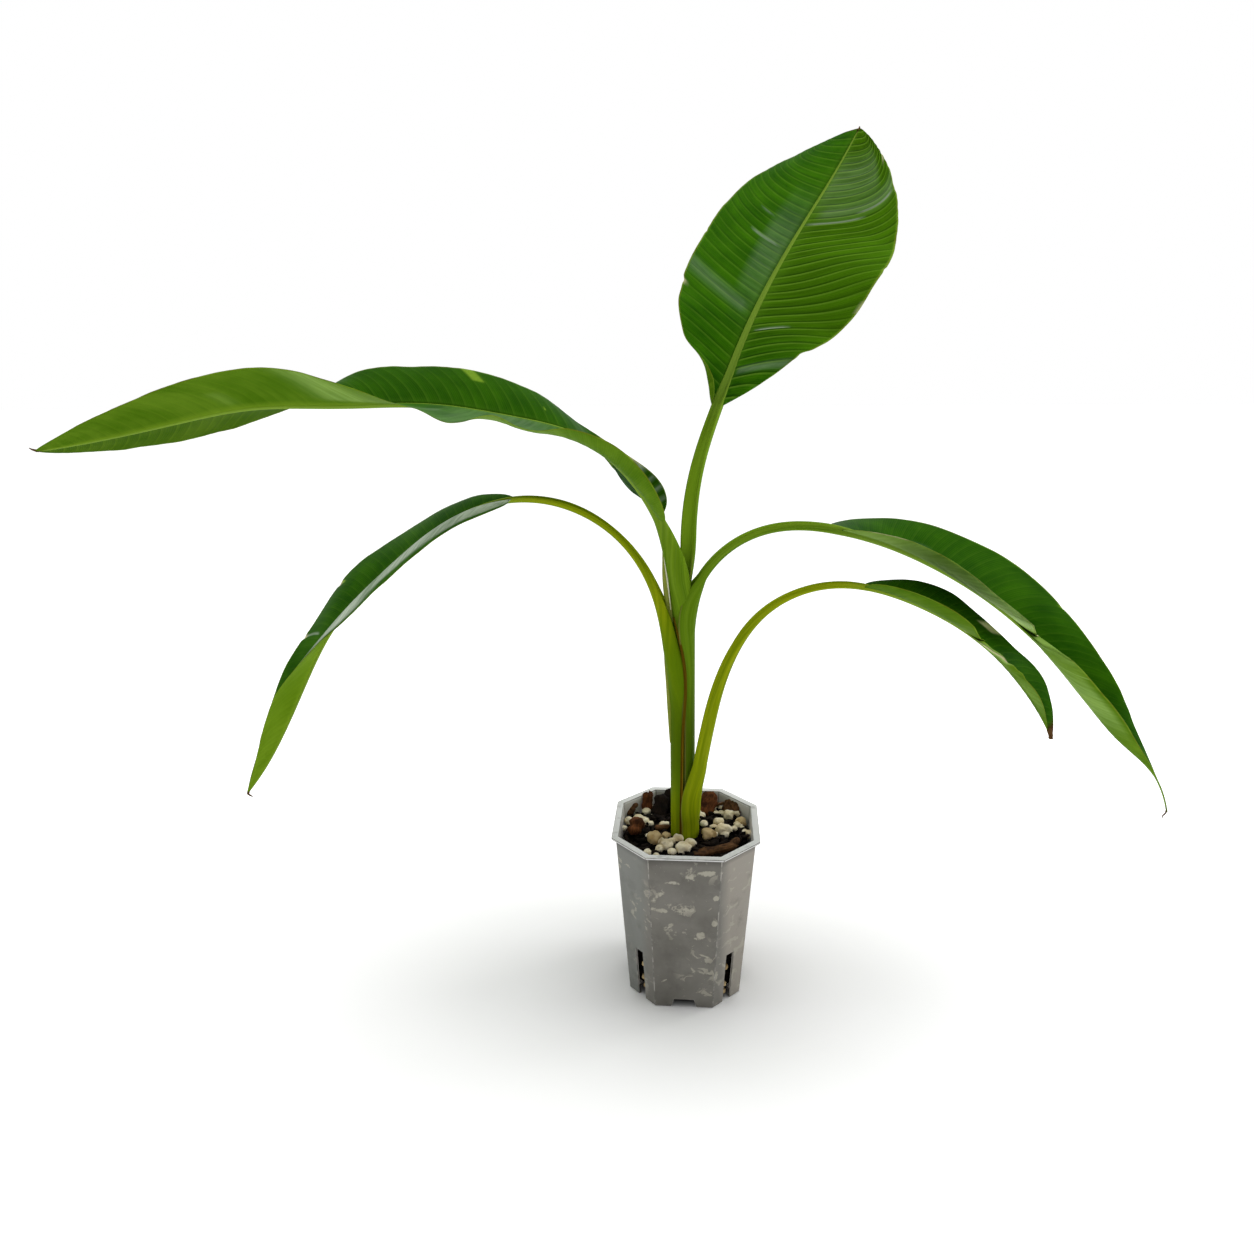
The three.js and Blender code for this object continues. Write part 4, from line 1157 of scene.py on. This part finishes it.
def make_pumice(settings):
    pale, tan = pumice_finish("pumice_pale", *PUMICE_PALE), pumice_finish("pumice_tan", *PUMICE_TAN)
    template = lump_template(4)
    for number in range(1, 15):
        low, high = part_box(f"pumice_{number}")
        centre, size = (low + high) / 2 / MM, (high - low) / 2 / MM
        points, faces = lump(template, centre, size * LUMP_SWELL, number)
        piece = make_piece(f"pumice_lump_{number}", points, faces, [tan if number in TAN_PEBBLES else pale])
        seat(piece, [f"pumice_{number}"])
    small = lump_template(3)
    pebbles = []
    for seed, (x, y, radius, squash) in enumerate(SMALL_PEBBLES):
        centre = (x, y, soil_height(x, y) + radius * 0.25)
        pebbles.append(lump(small, centre, (radius * 1.08, radius * 0.95, radius * squash), seed + 30))
    for number, (x, y, rng) in enumerate(scatter(settings.loose_pebbles, 5, 17)):
        radius = rng.uniform(1.4, 3.2)
        if y > BEHIND_STEM:
            centre = (x, y, soil_height(x, y) + radius * 0.1)
            pebbles.append(lump(small, centre, (radius * 1.1, radius, radius * 0.8), number + 70))
    seat(join("small_pebbles", pebbles, pale))
    edge = []
    for side in range(4):
        turn = side * math.pi / 2 + math.pi / 4
        for step, height in enumerate((5, 14, 29)):
            reach = octagon_reach(turn, body_half(height) - SOIL_CLEAR) - 0.6
            skew = turn + 0.02 * math.sin(3.1 * step + side)
            centre = (reach * math.cos(skew), reach * math.sin(skew), height + 3 * math.sin(side + step))
            edge.append(lump(small, centre, (2.3, 2.4, 2.1), 200 + side * 4 + step))
    seat(join("pebbles_behind_slots", edge, tan))


def bark_finish(name, deep, light):
    bark = Finish(name, Roughness=0.82, Specular_IOR_Level=0.08)
    grain = bark.skin_noise(9, 60, 5, 0.65)
    bark.body = bark.blend(bark.rise(grain, 0.36, 0.68), deep, light)
    bark.coat(bark.rise(bark.noise(120, 3, 0.6), 0.45, 0.62), shade(deep, 0.16), 0.65)
    return bark.done(bark.plus(grain, bark.times(bark.noise(700, 3, 0.6), 0.3)), 0.0006, 0.8)


def chip(length, width, thick, seed, rings=16, around=22):
    """Points, faces and skin of a torn bark chip that lies along X, with its fibres lengthwise."""
    shift = seed * 11.7
    points, uv = [], []
    for step in range(rings):
        u = 2 * step / (rings - 1) - 1
        taper = (1 - abs(u) ** 9) * (0.88 + 0.3 * noise.noise(Vector((u * 2.3, shift, 0))))
        for i in range(around):
            turn = 2 * math.pi * i / around
            c, s = math.cos(turn), math.sin(turn)
            y = math.copysign(abs(c) ** 0.55, c) * width / 2
            z = math.copysign(abs(s) ** 0.6, s) * thick / 2
            broad = noise.noise(Vector((c * 2.6, s * 2.6, shift)))
            ridge = 1 + 0.20 * broad + 0.22 * noise.noise(Vector((c * 6, s * 6, shift + u * 0.6)))
            ragged = 1 + 0.30 * noise.noise(Vector((c * 3, s * 3, shift + (9 if u > 0 else 0))))
            size = max(taper, 0.12) * ridge
            bow = 0.06 * length * math.sin(u * 1.4 + seed)
            points.append((u * length / 2 * ragged, y * size, z * size + bow * 0.3))
            uv.append(((u + 1) * length / 100, i / around))
    return np.array(points), tube_faces(rings, around), np.array(uv)


def lay(parts, place, turn, lean):
    """A chip turned, leant and moved to its place."""
    points, faces, uv = parts
    turned = Matrix.Rotation(math.radians(turn), 3, "Z") @ Matrix.Rotation(math.radians(-lean), 3, "Y")
    return points @ np.array(turned).T + np.array(place), faces, uv


def laid_chip(x, y, length, width, thick, turn, lean, seed):
    rise = thick * 0.25 + length * 0.3 * math.sin(math.radians(lean))
    return lay(chip(length, width, thick, seed), (x, y, soil_height(x, y) + rise), turn, lean)


# Chips: [x, y, length, width, thickness, turn, lean], in mm and degrees. First those of the solids.
BARK_CHIPS = [
    (-34.5, -1.5, 13, 10, 8, 70, 30), (-29, 34, 15, 9, 4, 82, 68), (-13, 36.5, 17, 12, 4, 70, 60),
    (15, 35, 18, 15, 4.5, 60, 50), (21, -23.5, 27, 7.5, 5, 14, 6), (30, 34, 12, 9, 4, 50, 45),
]
CHIP_FINISHES = ["rust", "rust", "damp", "rust", "brown", "brown"]
BARK_PIECES = [
    (-40, 28, 11, 7, 4, 60, 35), (21, 36, 18, 4, 2.4, -32, 30), (-17, 4, 10, 6, 3, 10, 5),
    (10, -30, 11, 5, 3, 5, 4), (33, -14, 12, 6, 3.5, 60, 8), (35, 30, 10, 7, 4, 100, 40),
]
DAMP_PIECES = [(-19, 29, 17, 12, 4, 75, 45), (-6, 30, 14, 9, 4, 100, 45)]
BARK_COLOURS = {
    "brown": ((0.03, 0.013, 0.005), (0.20, 0.095, 0.038)),
    "rust": ((0.04, 0.011, 0.004), (0.24, 0.085, 0.028)),
    "damp": ((0.003, 0.002, 0.0015), (0.022, 0.013, 0.008)),
}


def make_bark(settings):
    finishes = {kind: bark_finish(f"bark_{kind}", *colours) for kind, colours in BARK_COLOURS.items()}
    for number, (row, kind) in enumerate(zip(BARK_CHIPS, CHIP_FINISHES), 1):
        points, faces, uv = laid_chip(*row, seed=number)
        piece = make_piece(f"bark_chip_{number}", points, faces, [finishes[kind]], uv)
        seat(piece, [f"bark_{number}"])
    chips = [laid_chip(*row, seed=40 + i) for i, row in enumerate(BARK_PIECES)]
    seat(join("bark_pieces", chips, finishes["brown"]))
    crumbs = [laid_chip(*row, seed=50 + i) for i, row in enumerate(DAMP_PIECES)]
    for number, (x, y, rng) in enumerate(scatter(settings.bark_crumbs, 11, 11)):
        length = rng.uniform(3, 9)
        turn, lean = rng.uniform(0, 180), rng.uniform(-20, 30)
        crumb = chip(length, length * rng.uniform(0.3, 0.6), length * 0.25, number + 90, 7, 10)
        crumbs.append(lay(crumb, (x, y, soil_height(x, y) - 0.6 + rng.uniform(0, 1.2)), turn, -lean))
    seat(join("bark_crumbs", crumbs, finishes["damp"]))


# Stem
def make_stem_core(finish):
    """The innermost rolled sheaths, up to where the two top leaves part."""
    heights = np.arange(100, 262, 3.0)
    sides = 48
    turn = np.linspace(0, 2 * np.pi, sides, endpoint=False)
    roll = 5.2 + 0.35 * (turn / (2 * np.pi))
    ring = np.stack([roll * np.cos(turn), roll * np.sin(turn), np.zeros(sides)], -1)
    points = np.vstack([stem_axis(z) + ring for z in heights])
    uv = np.vstack([np.stack([turn * 5 / 100, np.full(sides, z / 100)], -1) for z in heights])
    piece = make_piece("rolled_core", points, tube_faces(len(heights), sides), [finish], uv)
    seat(piece, ["stem_core"])


def ribbon(name, line, widths, across, finish):
    """A thin dry strip that follows points in mm, as wide as widths says, laid along across."""
    line, across = np.asarray(line, float), np.asarray(across, float)
    share = np.linspace(0, 1, 60)
    centre = np.stack([along(line[:, k], share) for k in range(3)], -1)
    width = along(widths, share)
    across = across / np.linalg.norm(across)
    out = np.cross(np.gradient(centre, axis=0), across)
    out /= np.linalg.norm(out, axis=1, keepdims=True)
    sides = np.linspace(-1, 1, 9)
    turns = [(k, 1) for k in sides] + [(k, -1) for k in sides[::-1]]
    points, uv = [], []
    for c, w, n, s in zip(centre, width, out, share):
        for k, face in turns:
            points.append(c + across * (w / 2 * k) + n * (face * STRIP_HALF + 0.25 * (1 - k * k)))
            uv.append((k * w / 200, s * 1.5))
    return make_piece(name, points, tube_faces(len(share), len(turns)), [finish], uv)


# Strips beside the stem and the long leaf: their finish, widths, direction across and places, in mm
STRIP_HALF = 0.2          # half of a strip's thickness
STRIPS = {
    "dry_seam": ("dry_sheath", (1.6, 1.8, 2, 1.8, 2, 0.8), (1, 0, 0), [
        (-3.5, -9.5, 104), (-3.5, -9.5, 134), (-3, -9, 164), (-2.5, -9, 194), (-1, -9, 222),
        (-2.5, -8.5, 246), (-9, -6.5, 274),
    ]),
    "seam_line": ("seam_light", (0.3, 0.5, 0.5, 0.4), (1, 0, 0), [
        (-3, -10.5, 106), (-3, -10.5, 140), (-2.5, -10, 170), (-2.5, -10, 200),
    ]),
    "old_sheath_upper": ("old_sheath", (0.8, 2, 3, 4, 3.4, 2), (1, 0, 0.1), [
        (-16, -2, 324), (-15.5, -2, 312), (-15, -2, 300), (-13.5, -2, 288), (-11.5, -2, 276),
        (-9.5, -2, 264),
    ]),
    "old_sheath_edge": ("sheath_pale", (0.3, 0.8, 1, 0.8, 0.5), (1, 0, 0.1), [
        (-16, -3, 322), (-15, -3, 311), (-13.5, -3, 300), (-12, -3, 288), (-11, -3, 278),
    ]),
    "old_sheath_lower": ("old_sheath", (1, 2.4, 3.2, 3.2, 2), (1, 0, 0.1), [
        (-15, -2, 254), (-14, -2, 242), (-12.5, -2, 226), (-11.5, -2, 208), (-10.5, -2, 184),
    ]),
    "basal_lobe": ("leaf_lobe", (1, 6, 7, 5, 1), (-0.73, 0, -0.68), [
        (-47, -2, 371), (-40, -2, 364), (-34, -2, 357.5), (-29, -2, 352.5), (-24, -2, 347),
    ]),
}
STRIP_COLOURS = {
    "dry_sheath": ((0.06, 0.035, 0.001), (0.13, 0.08, 0.002)),
    "seam_light": ((0.18, 0.11, 0.004), (0.30, 0.20, 0.01)),
    "old_sheath": ((0.16, 0.22, 0.015), (0.34, 0.36, 0.08)),
    "sheath_pale": ((0.62, 0.62, 0.40), (0.80, 0.80, 0.62)),
    "leaf_lobe": ((0.008, 0.045, 0.006), (0.10, 0.19, 0.08)),
}


# Stage
WHITE = (1, 1, 1)
POT_SHADOW = (0.033, 0.037)      # radii between which the painted shadow on the floor under the pot fades
SHADOW_COLOUR = (0.02, 0.02, 0.02)
# Each light's place, aim and size
LIGHTS = {
    "overhead": ((0.0, 0.1, 1.7), (0, 0, 0.3), (1.6, 1.2)),
    "left_box": ((-1.3, 0.1, 0.9), (0, 0, 0.25), (0.9, 1.2)),
    "right_box": ((1.3, 0.3, 0.9), (0, 0, 0.25), (0.9, 1.2)),
}


def camera_turn(stage):
    pitch, yaw, roll = stage.camera_pitch, stage.camera_yaw, stage.camera_roll
    forward = Vector((math.sin(yaw) * math.cos(pitch), math.cos(yaw) * math.cos(pitch), -math.sin(pitch)))
    right = Vector((math.cos(yaw), -math.sin(yaw), 0))
    up = right.cross(forward)
    level = Matrix((right, up, -forward)).transposed()
    return level @ Matrix.Rotation(roll, 3, "Z")


def make_camera(stage):
    data = bpy.data.cameras.new("camera")
    data.lens = stage.camera_lens
    data.sensor_width = 36
    data.clip_start = 0.01
    camera = bpy.data.objects.new("camera", data)
    camera.matrix_world = Matrix.Translation(stage.camera_place) @ camera_turn(stage).to_4x4()
    bpy.context.scene.collection.objects.link(camera)
    bpy.context.scene.camera = camera


def area_light(name, place, aim, size, power):
    data = bpy.data.lights.new(name, "AREA")
    data.shape = "RECTANGLE"
    data.size, data.size_y = size
    data.energy = power
    light = bpy.data.objects.new(name, data)
    direction = Vector(aim) - Vector(place)
    light.matrix_world = Matrix.Translation(place) @ direction.to_track_quat("-Z", "Y").to_matrix().to_4x4()
    bpy.context.scene.collection.objects.link(light)


def sheet(name, size, place, turn, material):
    deselect()
    bpy.ops.mesh.primitive_plane_add(size=size, location=place, rotation=turn)
    plane = bpy.context.object
    plane.name = plane.data.name = name
    settle(plane)
    plane.data.materials.append(material)
    return plane


def make_floor(stage):
    """A pale floor: painted shadow under the pot, painted glow growing brighter away into the backdrop."""
    paper = Finish("studio_floor", Roughness=0.9, Specular_IOR_Level=0.0, Emission_Color=WHITE)
    x, y, _ = paper.split(paper.where)
    # Painted shadow: the floor turns to the shadow colour under the pot
    covered = paper.fall(paper.length(x, y), *POT_SHADOW)
    tone = paper.blend(covered, tuple(stage.floor_colour), SHADOW_COLOUR)
    # Painted glow: the floor gives off light, more the further it lies from the pot
    glow = paper.ramp(paper.length(paper.times(x, 0.62), y), [(0.03, 0.0), (0.13, 0.45), (0.30, 1.0)])
    paper.feed(paper.shader, {"Base Color": tone, "Emission Strength": paper.times(glow, stage.floor_glow)})
    floor = sheet("floor", 9, (0, 0, -0.0004), (0, 0, 0), paper.material)


def make_backdrop():
    """A lit white wall far behind the plant."""
    glow = {"Emission_Color": WHITE, "Emission_Strength": 1.0}
    white = Finish("studio_backdrop", Base_Color=(0, 0, 0), Roughness=1.0, Specular_IOR_Level=0.0, **glow)
    wall = sheet("backdrop", 10, (0, 4.4, 3), (math.pi / 2, 0, 0), white.material)


def make_world(stage):
    world = bpy.data.worlds.new("studio")
    bpy.context.scene.world = world
    world.use_nodes = True
    sky = world.node_tree.nodes["Background"]
    sky.inputs["Color"].default_value = (*WHITE, 1)
    sky.inputs["Strength"].default_value = stage.world_strength


# Settings, operators and panel
class BANANA_PG_stage(bpy.types.PropertyGroup):
    camera_place: FloatVectorProperty(
        name="Camera place", description="Where the camera stands", default=(0.009, -0.603, 0.461),
        size=3, subtype="TRANSLATION", unit="LENGTH")
    camera_pitch: FloatProperty(
        name="Pitch", description="How far the camera looks down",
        default=math.radians(17.96), subtype="ANGLE")
    camera_yaw: FloatProperty(
        name="Yaw", description="How far the camera turns to the right",
        default=math.radians(-4.61), subtype="ANGLE")
    camera_roll: FloatProperty(
        name="Roll", description="How far the camera leans", default=math.radians(-0.7), subtype="ANGLE")
    camera_lens: FloatProperty(
        name="Lens", description="Focal length in mm", default=27.93, min=10, max=200)
    floor_colour: FloatVectorProperty(
        name="Floor", description="Colour of the floor",
        default=(0.86, 0.86, 0.86), size=3, subtype="COLOR")
    floor_glow: FloatProperty(
        name="Floor glow", description="Brightness that the far floor adds", default=0.55, min=0, max=2)
    world_strength: FloatProperty(
        name="Fill", description="Strength of the light from all sides", default=0.42, min=0, max=4)
    key_power: FloatProperty(
        name="Key power", description="Power of the light overhead", default=9, min=0, max=200)
    left_power: FloatProperty(
        name="Left power", description="Power of the light at the left", default=4.5, min=0, max=200)
    right_power: FloatProperty(
        name="Right power", description="Power of the light at the right", default=12, min=0, max=200)


class BANANA_PG_foliage(bpy.types.PropertyGroup):
    blade_thickness: FloatProperty(
        name="Blade thickness", description="Thickness of a leaf blade", default=0.0005, unit="LENGTH")
    pleat_depth: FloatProperty(
        name="Pleats", description="How strongly the blades are pleated", default=1.0, min=0, max=3)
    upper_deep: FloatVectorProperty(
        name="Upper face, deep", description="Darkest green of the upper face",
        default=(0.012, 0.075, 0.0008), size=3, subtype="COLOR")
    upper_light: FloatVectorProperty(
        name="Upper face, light", description="Lightest green of the upper face",
        default=(0.045, 0.165, 0.002), size=3, subtype="COLOR")
    under_deep: FloatVectorProperty(
        name="Underside, deep", description="Darkest green of the underside",
        default=(0.055, 0.135, 0.003), size=3, subtype="COLOR")
    under_light: FloatVectorProperty(
        name="Underside, light", description="Lightest green of the underside",
        default=(0.115, 0.215, 0.012), size=3, subtype="COLOR")


class BANANA_PG_medium(bpy.types.PropertyGroup):
    loose_pebbles: IntProperty(
        name="Loose pebbles", description="Small pebbles tried on the far side of the stem",
        default=46, min=0, max=400)
    bark_crumbs: IntProperty(
        name="Bark crumbs", description="Small pieces of bark on the medium", default=420, min=0, max=2000)


class BANANA_OT_stage(bpy.types.Operator):
    """Camera, floor, lights and the light from all sides"""
    bl_idname = "banana.stage"
    bl_label = "Stage"

    def execute(self, context):
        stage = context.scene.banana_stage
        context.scene.view_settings.view_transform = "Standard"
        make_camera(stage)
        make_floor(stage)
        make_backdrop()
        make_world(stage)
        powers = (stage.key_power, stage.left_power, stage.right_power)
        for (name, places), power in zip(LIGHTS.items(), powers):
            area_light(name, *places, power)
        return {"FINISHED"}


class BANANA_OT_pot(bpy.types.Operator):
    """The octagonal pot with its rim, slots and feet"""
    bl_idname = "banana.pot"
    bl_label = "Pot"

    def execute(self, context):
        make_pot()
        return {"FINISHED"}


class BANANA_OT_medium(bpy.types.Operator):
    """The dark growing medium that fills the pot"""
    bl_idname = "banana.medium"
    bl_label = "Growing medium"

    def execute(self, context):
        make_medium()
        return {"FINISHED"}


class BANANA_OT_pumice(bpy.types.Operator):
    """Pumice lumps and pebbles on the medium"""
    bl_idname = "banana.pumice"
    bl_label = "Pumice"

    def execute(self, context):
        make_pumice(context.scene.banana_medium)
        return {"FINISHED"}


class BANANA_OT_bark(bpy.types.Operator):
    """Bark chips and crumbs on the medium"""
    bl_idname = "banana.bark"
    bl_label = "Bark"

    def execute(self, context):
        make_bark(context.scene.banana_medium)
        return {"FINISHED"}


class BANANA_OT_stalks(bpy.types.Operator):
    """Sheaths, stalks and midribs of all leaves, with the core that they are rolled round"""
    bl_idname = "banana.stalks"
    bl_label = "Stem and stalks"

    def execute(self, context):
        green, yellow = (stalk_skin(kind, *colours) for kind, colours in STALK_COLOURS.items())
        for name in leaves:
            make_stalk(name, yellow if name in YELLOW_STALKS else green)
        make_stem_core(green)
        finishes = {kind: dry_finish(kind, *colours) for kind, colours in STRIP_COLOURS.items()}
        for strip, (kind, widths, across, line) in STRIPS.items():
            seat(ribbon(strip, line, widths, across, finishes[kind]))
        return {"FINISHED"}


class BANANA_OT_blades(bpy.types.Operator):
    """Leaf blades: two pleated halves beside each midrib"""
    bl_idname = "banana.blades"
    bl_label = "Leaf blades"

    def execute(self, context):
        foliage = context.scene.banana_foliage
        upper = leaf_face("leaf_upper", tuple(foliage.upper_deep), tuple(foliage.upper_light), **UPPER_FACE)
        under = leaf_face("leaf_under", tuple(foliage.under_deep), tuple(foliage.under_light), **UNDER_FACE)
        withered = dry_finish("dead_tip", *TIP_COLOURS)
        for seed, (name, nodes) in enumerate(BLADE_NODES.items()):
            for which in ("left", "right"):
                piece = make_half(name, which, 10 * seed + (which == "right"), [upper, under], foliage)
                seat(piece, nodes)
            make_tip(name, withered)
        return {"FINISHED"}


class BANANA_PT_panel(bpy.types.Panel):
    bl_idname = "BANANA_PT_panel"
    bl_label = "Potted Banana Plant"
    bl_space_type = "VIEW_3D"
    bl_region_type = "UI"
    bl_category = "Plant"

    def draw(self, context):
        for operator in OPERATORS:
            self.layout.operator(operator.bl_idname)


OPERATORS = [
    BANANA_OT_stage, BANANA_OT_pot, BANANA_OT_medium, BANANA_OT_pumice, BANANA_OT_bark, BANANA_OT_stalks,
    BANANA_OT_blades,
]
GROUPS = {
    "banana_stage": BANANA_PG_stage,
    "banana_foliage": BANANA_PG_foliage,
    "banana_medium": BANANA_PG_medium,
}


def register():
    for kind in [*GROUPS.values(), *OPERATORS, BANANA_PT_panel]:
        bpy.utils.register_class(kind)
    for name, group in GROUPS.items():
        setattr(bpy.types.Scene, name, PointerProperty(type=group))


def unregister():
    for name in GROUPS:
        delattr(bpy.types.Scene, name)
    for kind in reversed([*GROUPS.values(), *OPERATORS, BANANA_PT_panel]):
        bpy.utils.unregister_class(kind)


def main():
    register()
    bpy.ops.banana.stage()
    bpy.ops.banana.pot()
    bpy.ops.banana.medium()
    bpy.ops.banana.pumice()
    bpy.ops.banana.bark()
    bpy.ops.banana.stalks()
    bpy.ops.banana.blades()


if __name__ == "__main__":
    main()
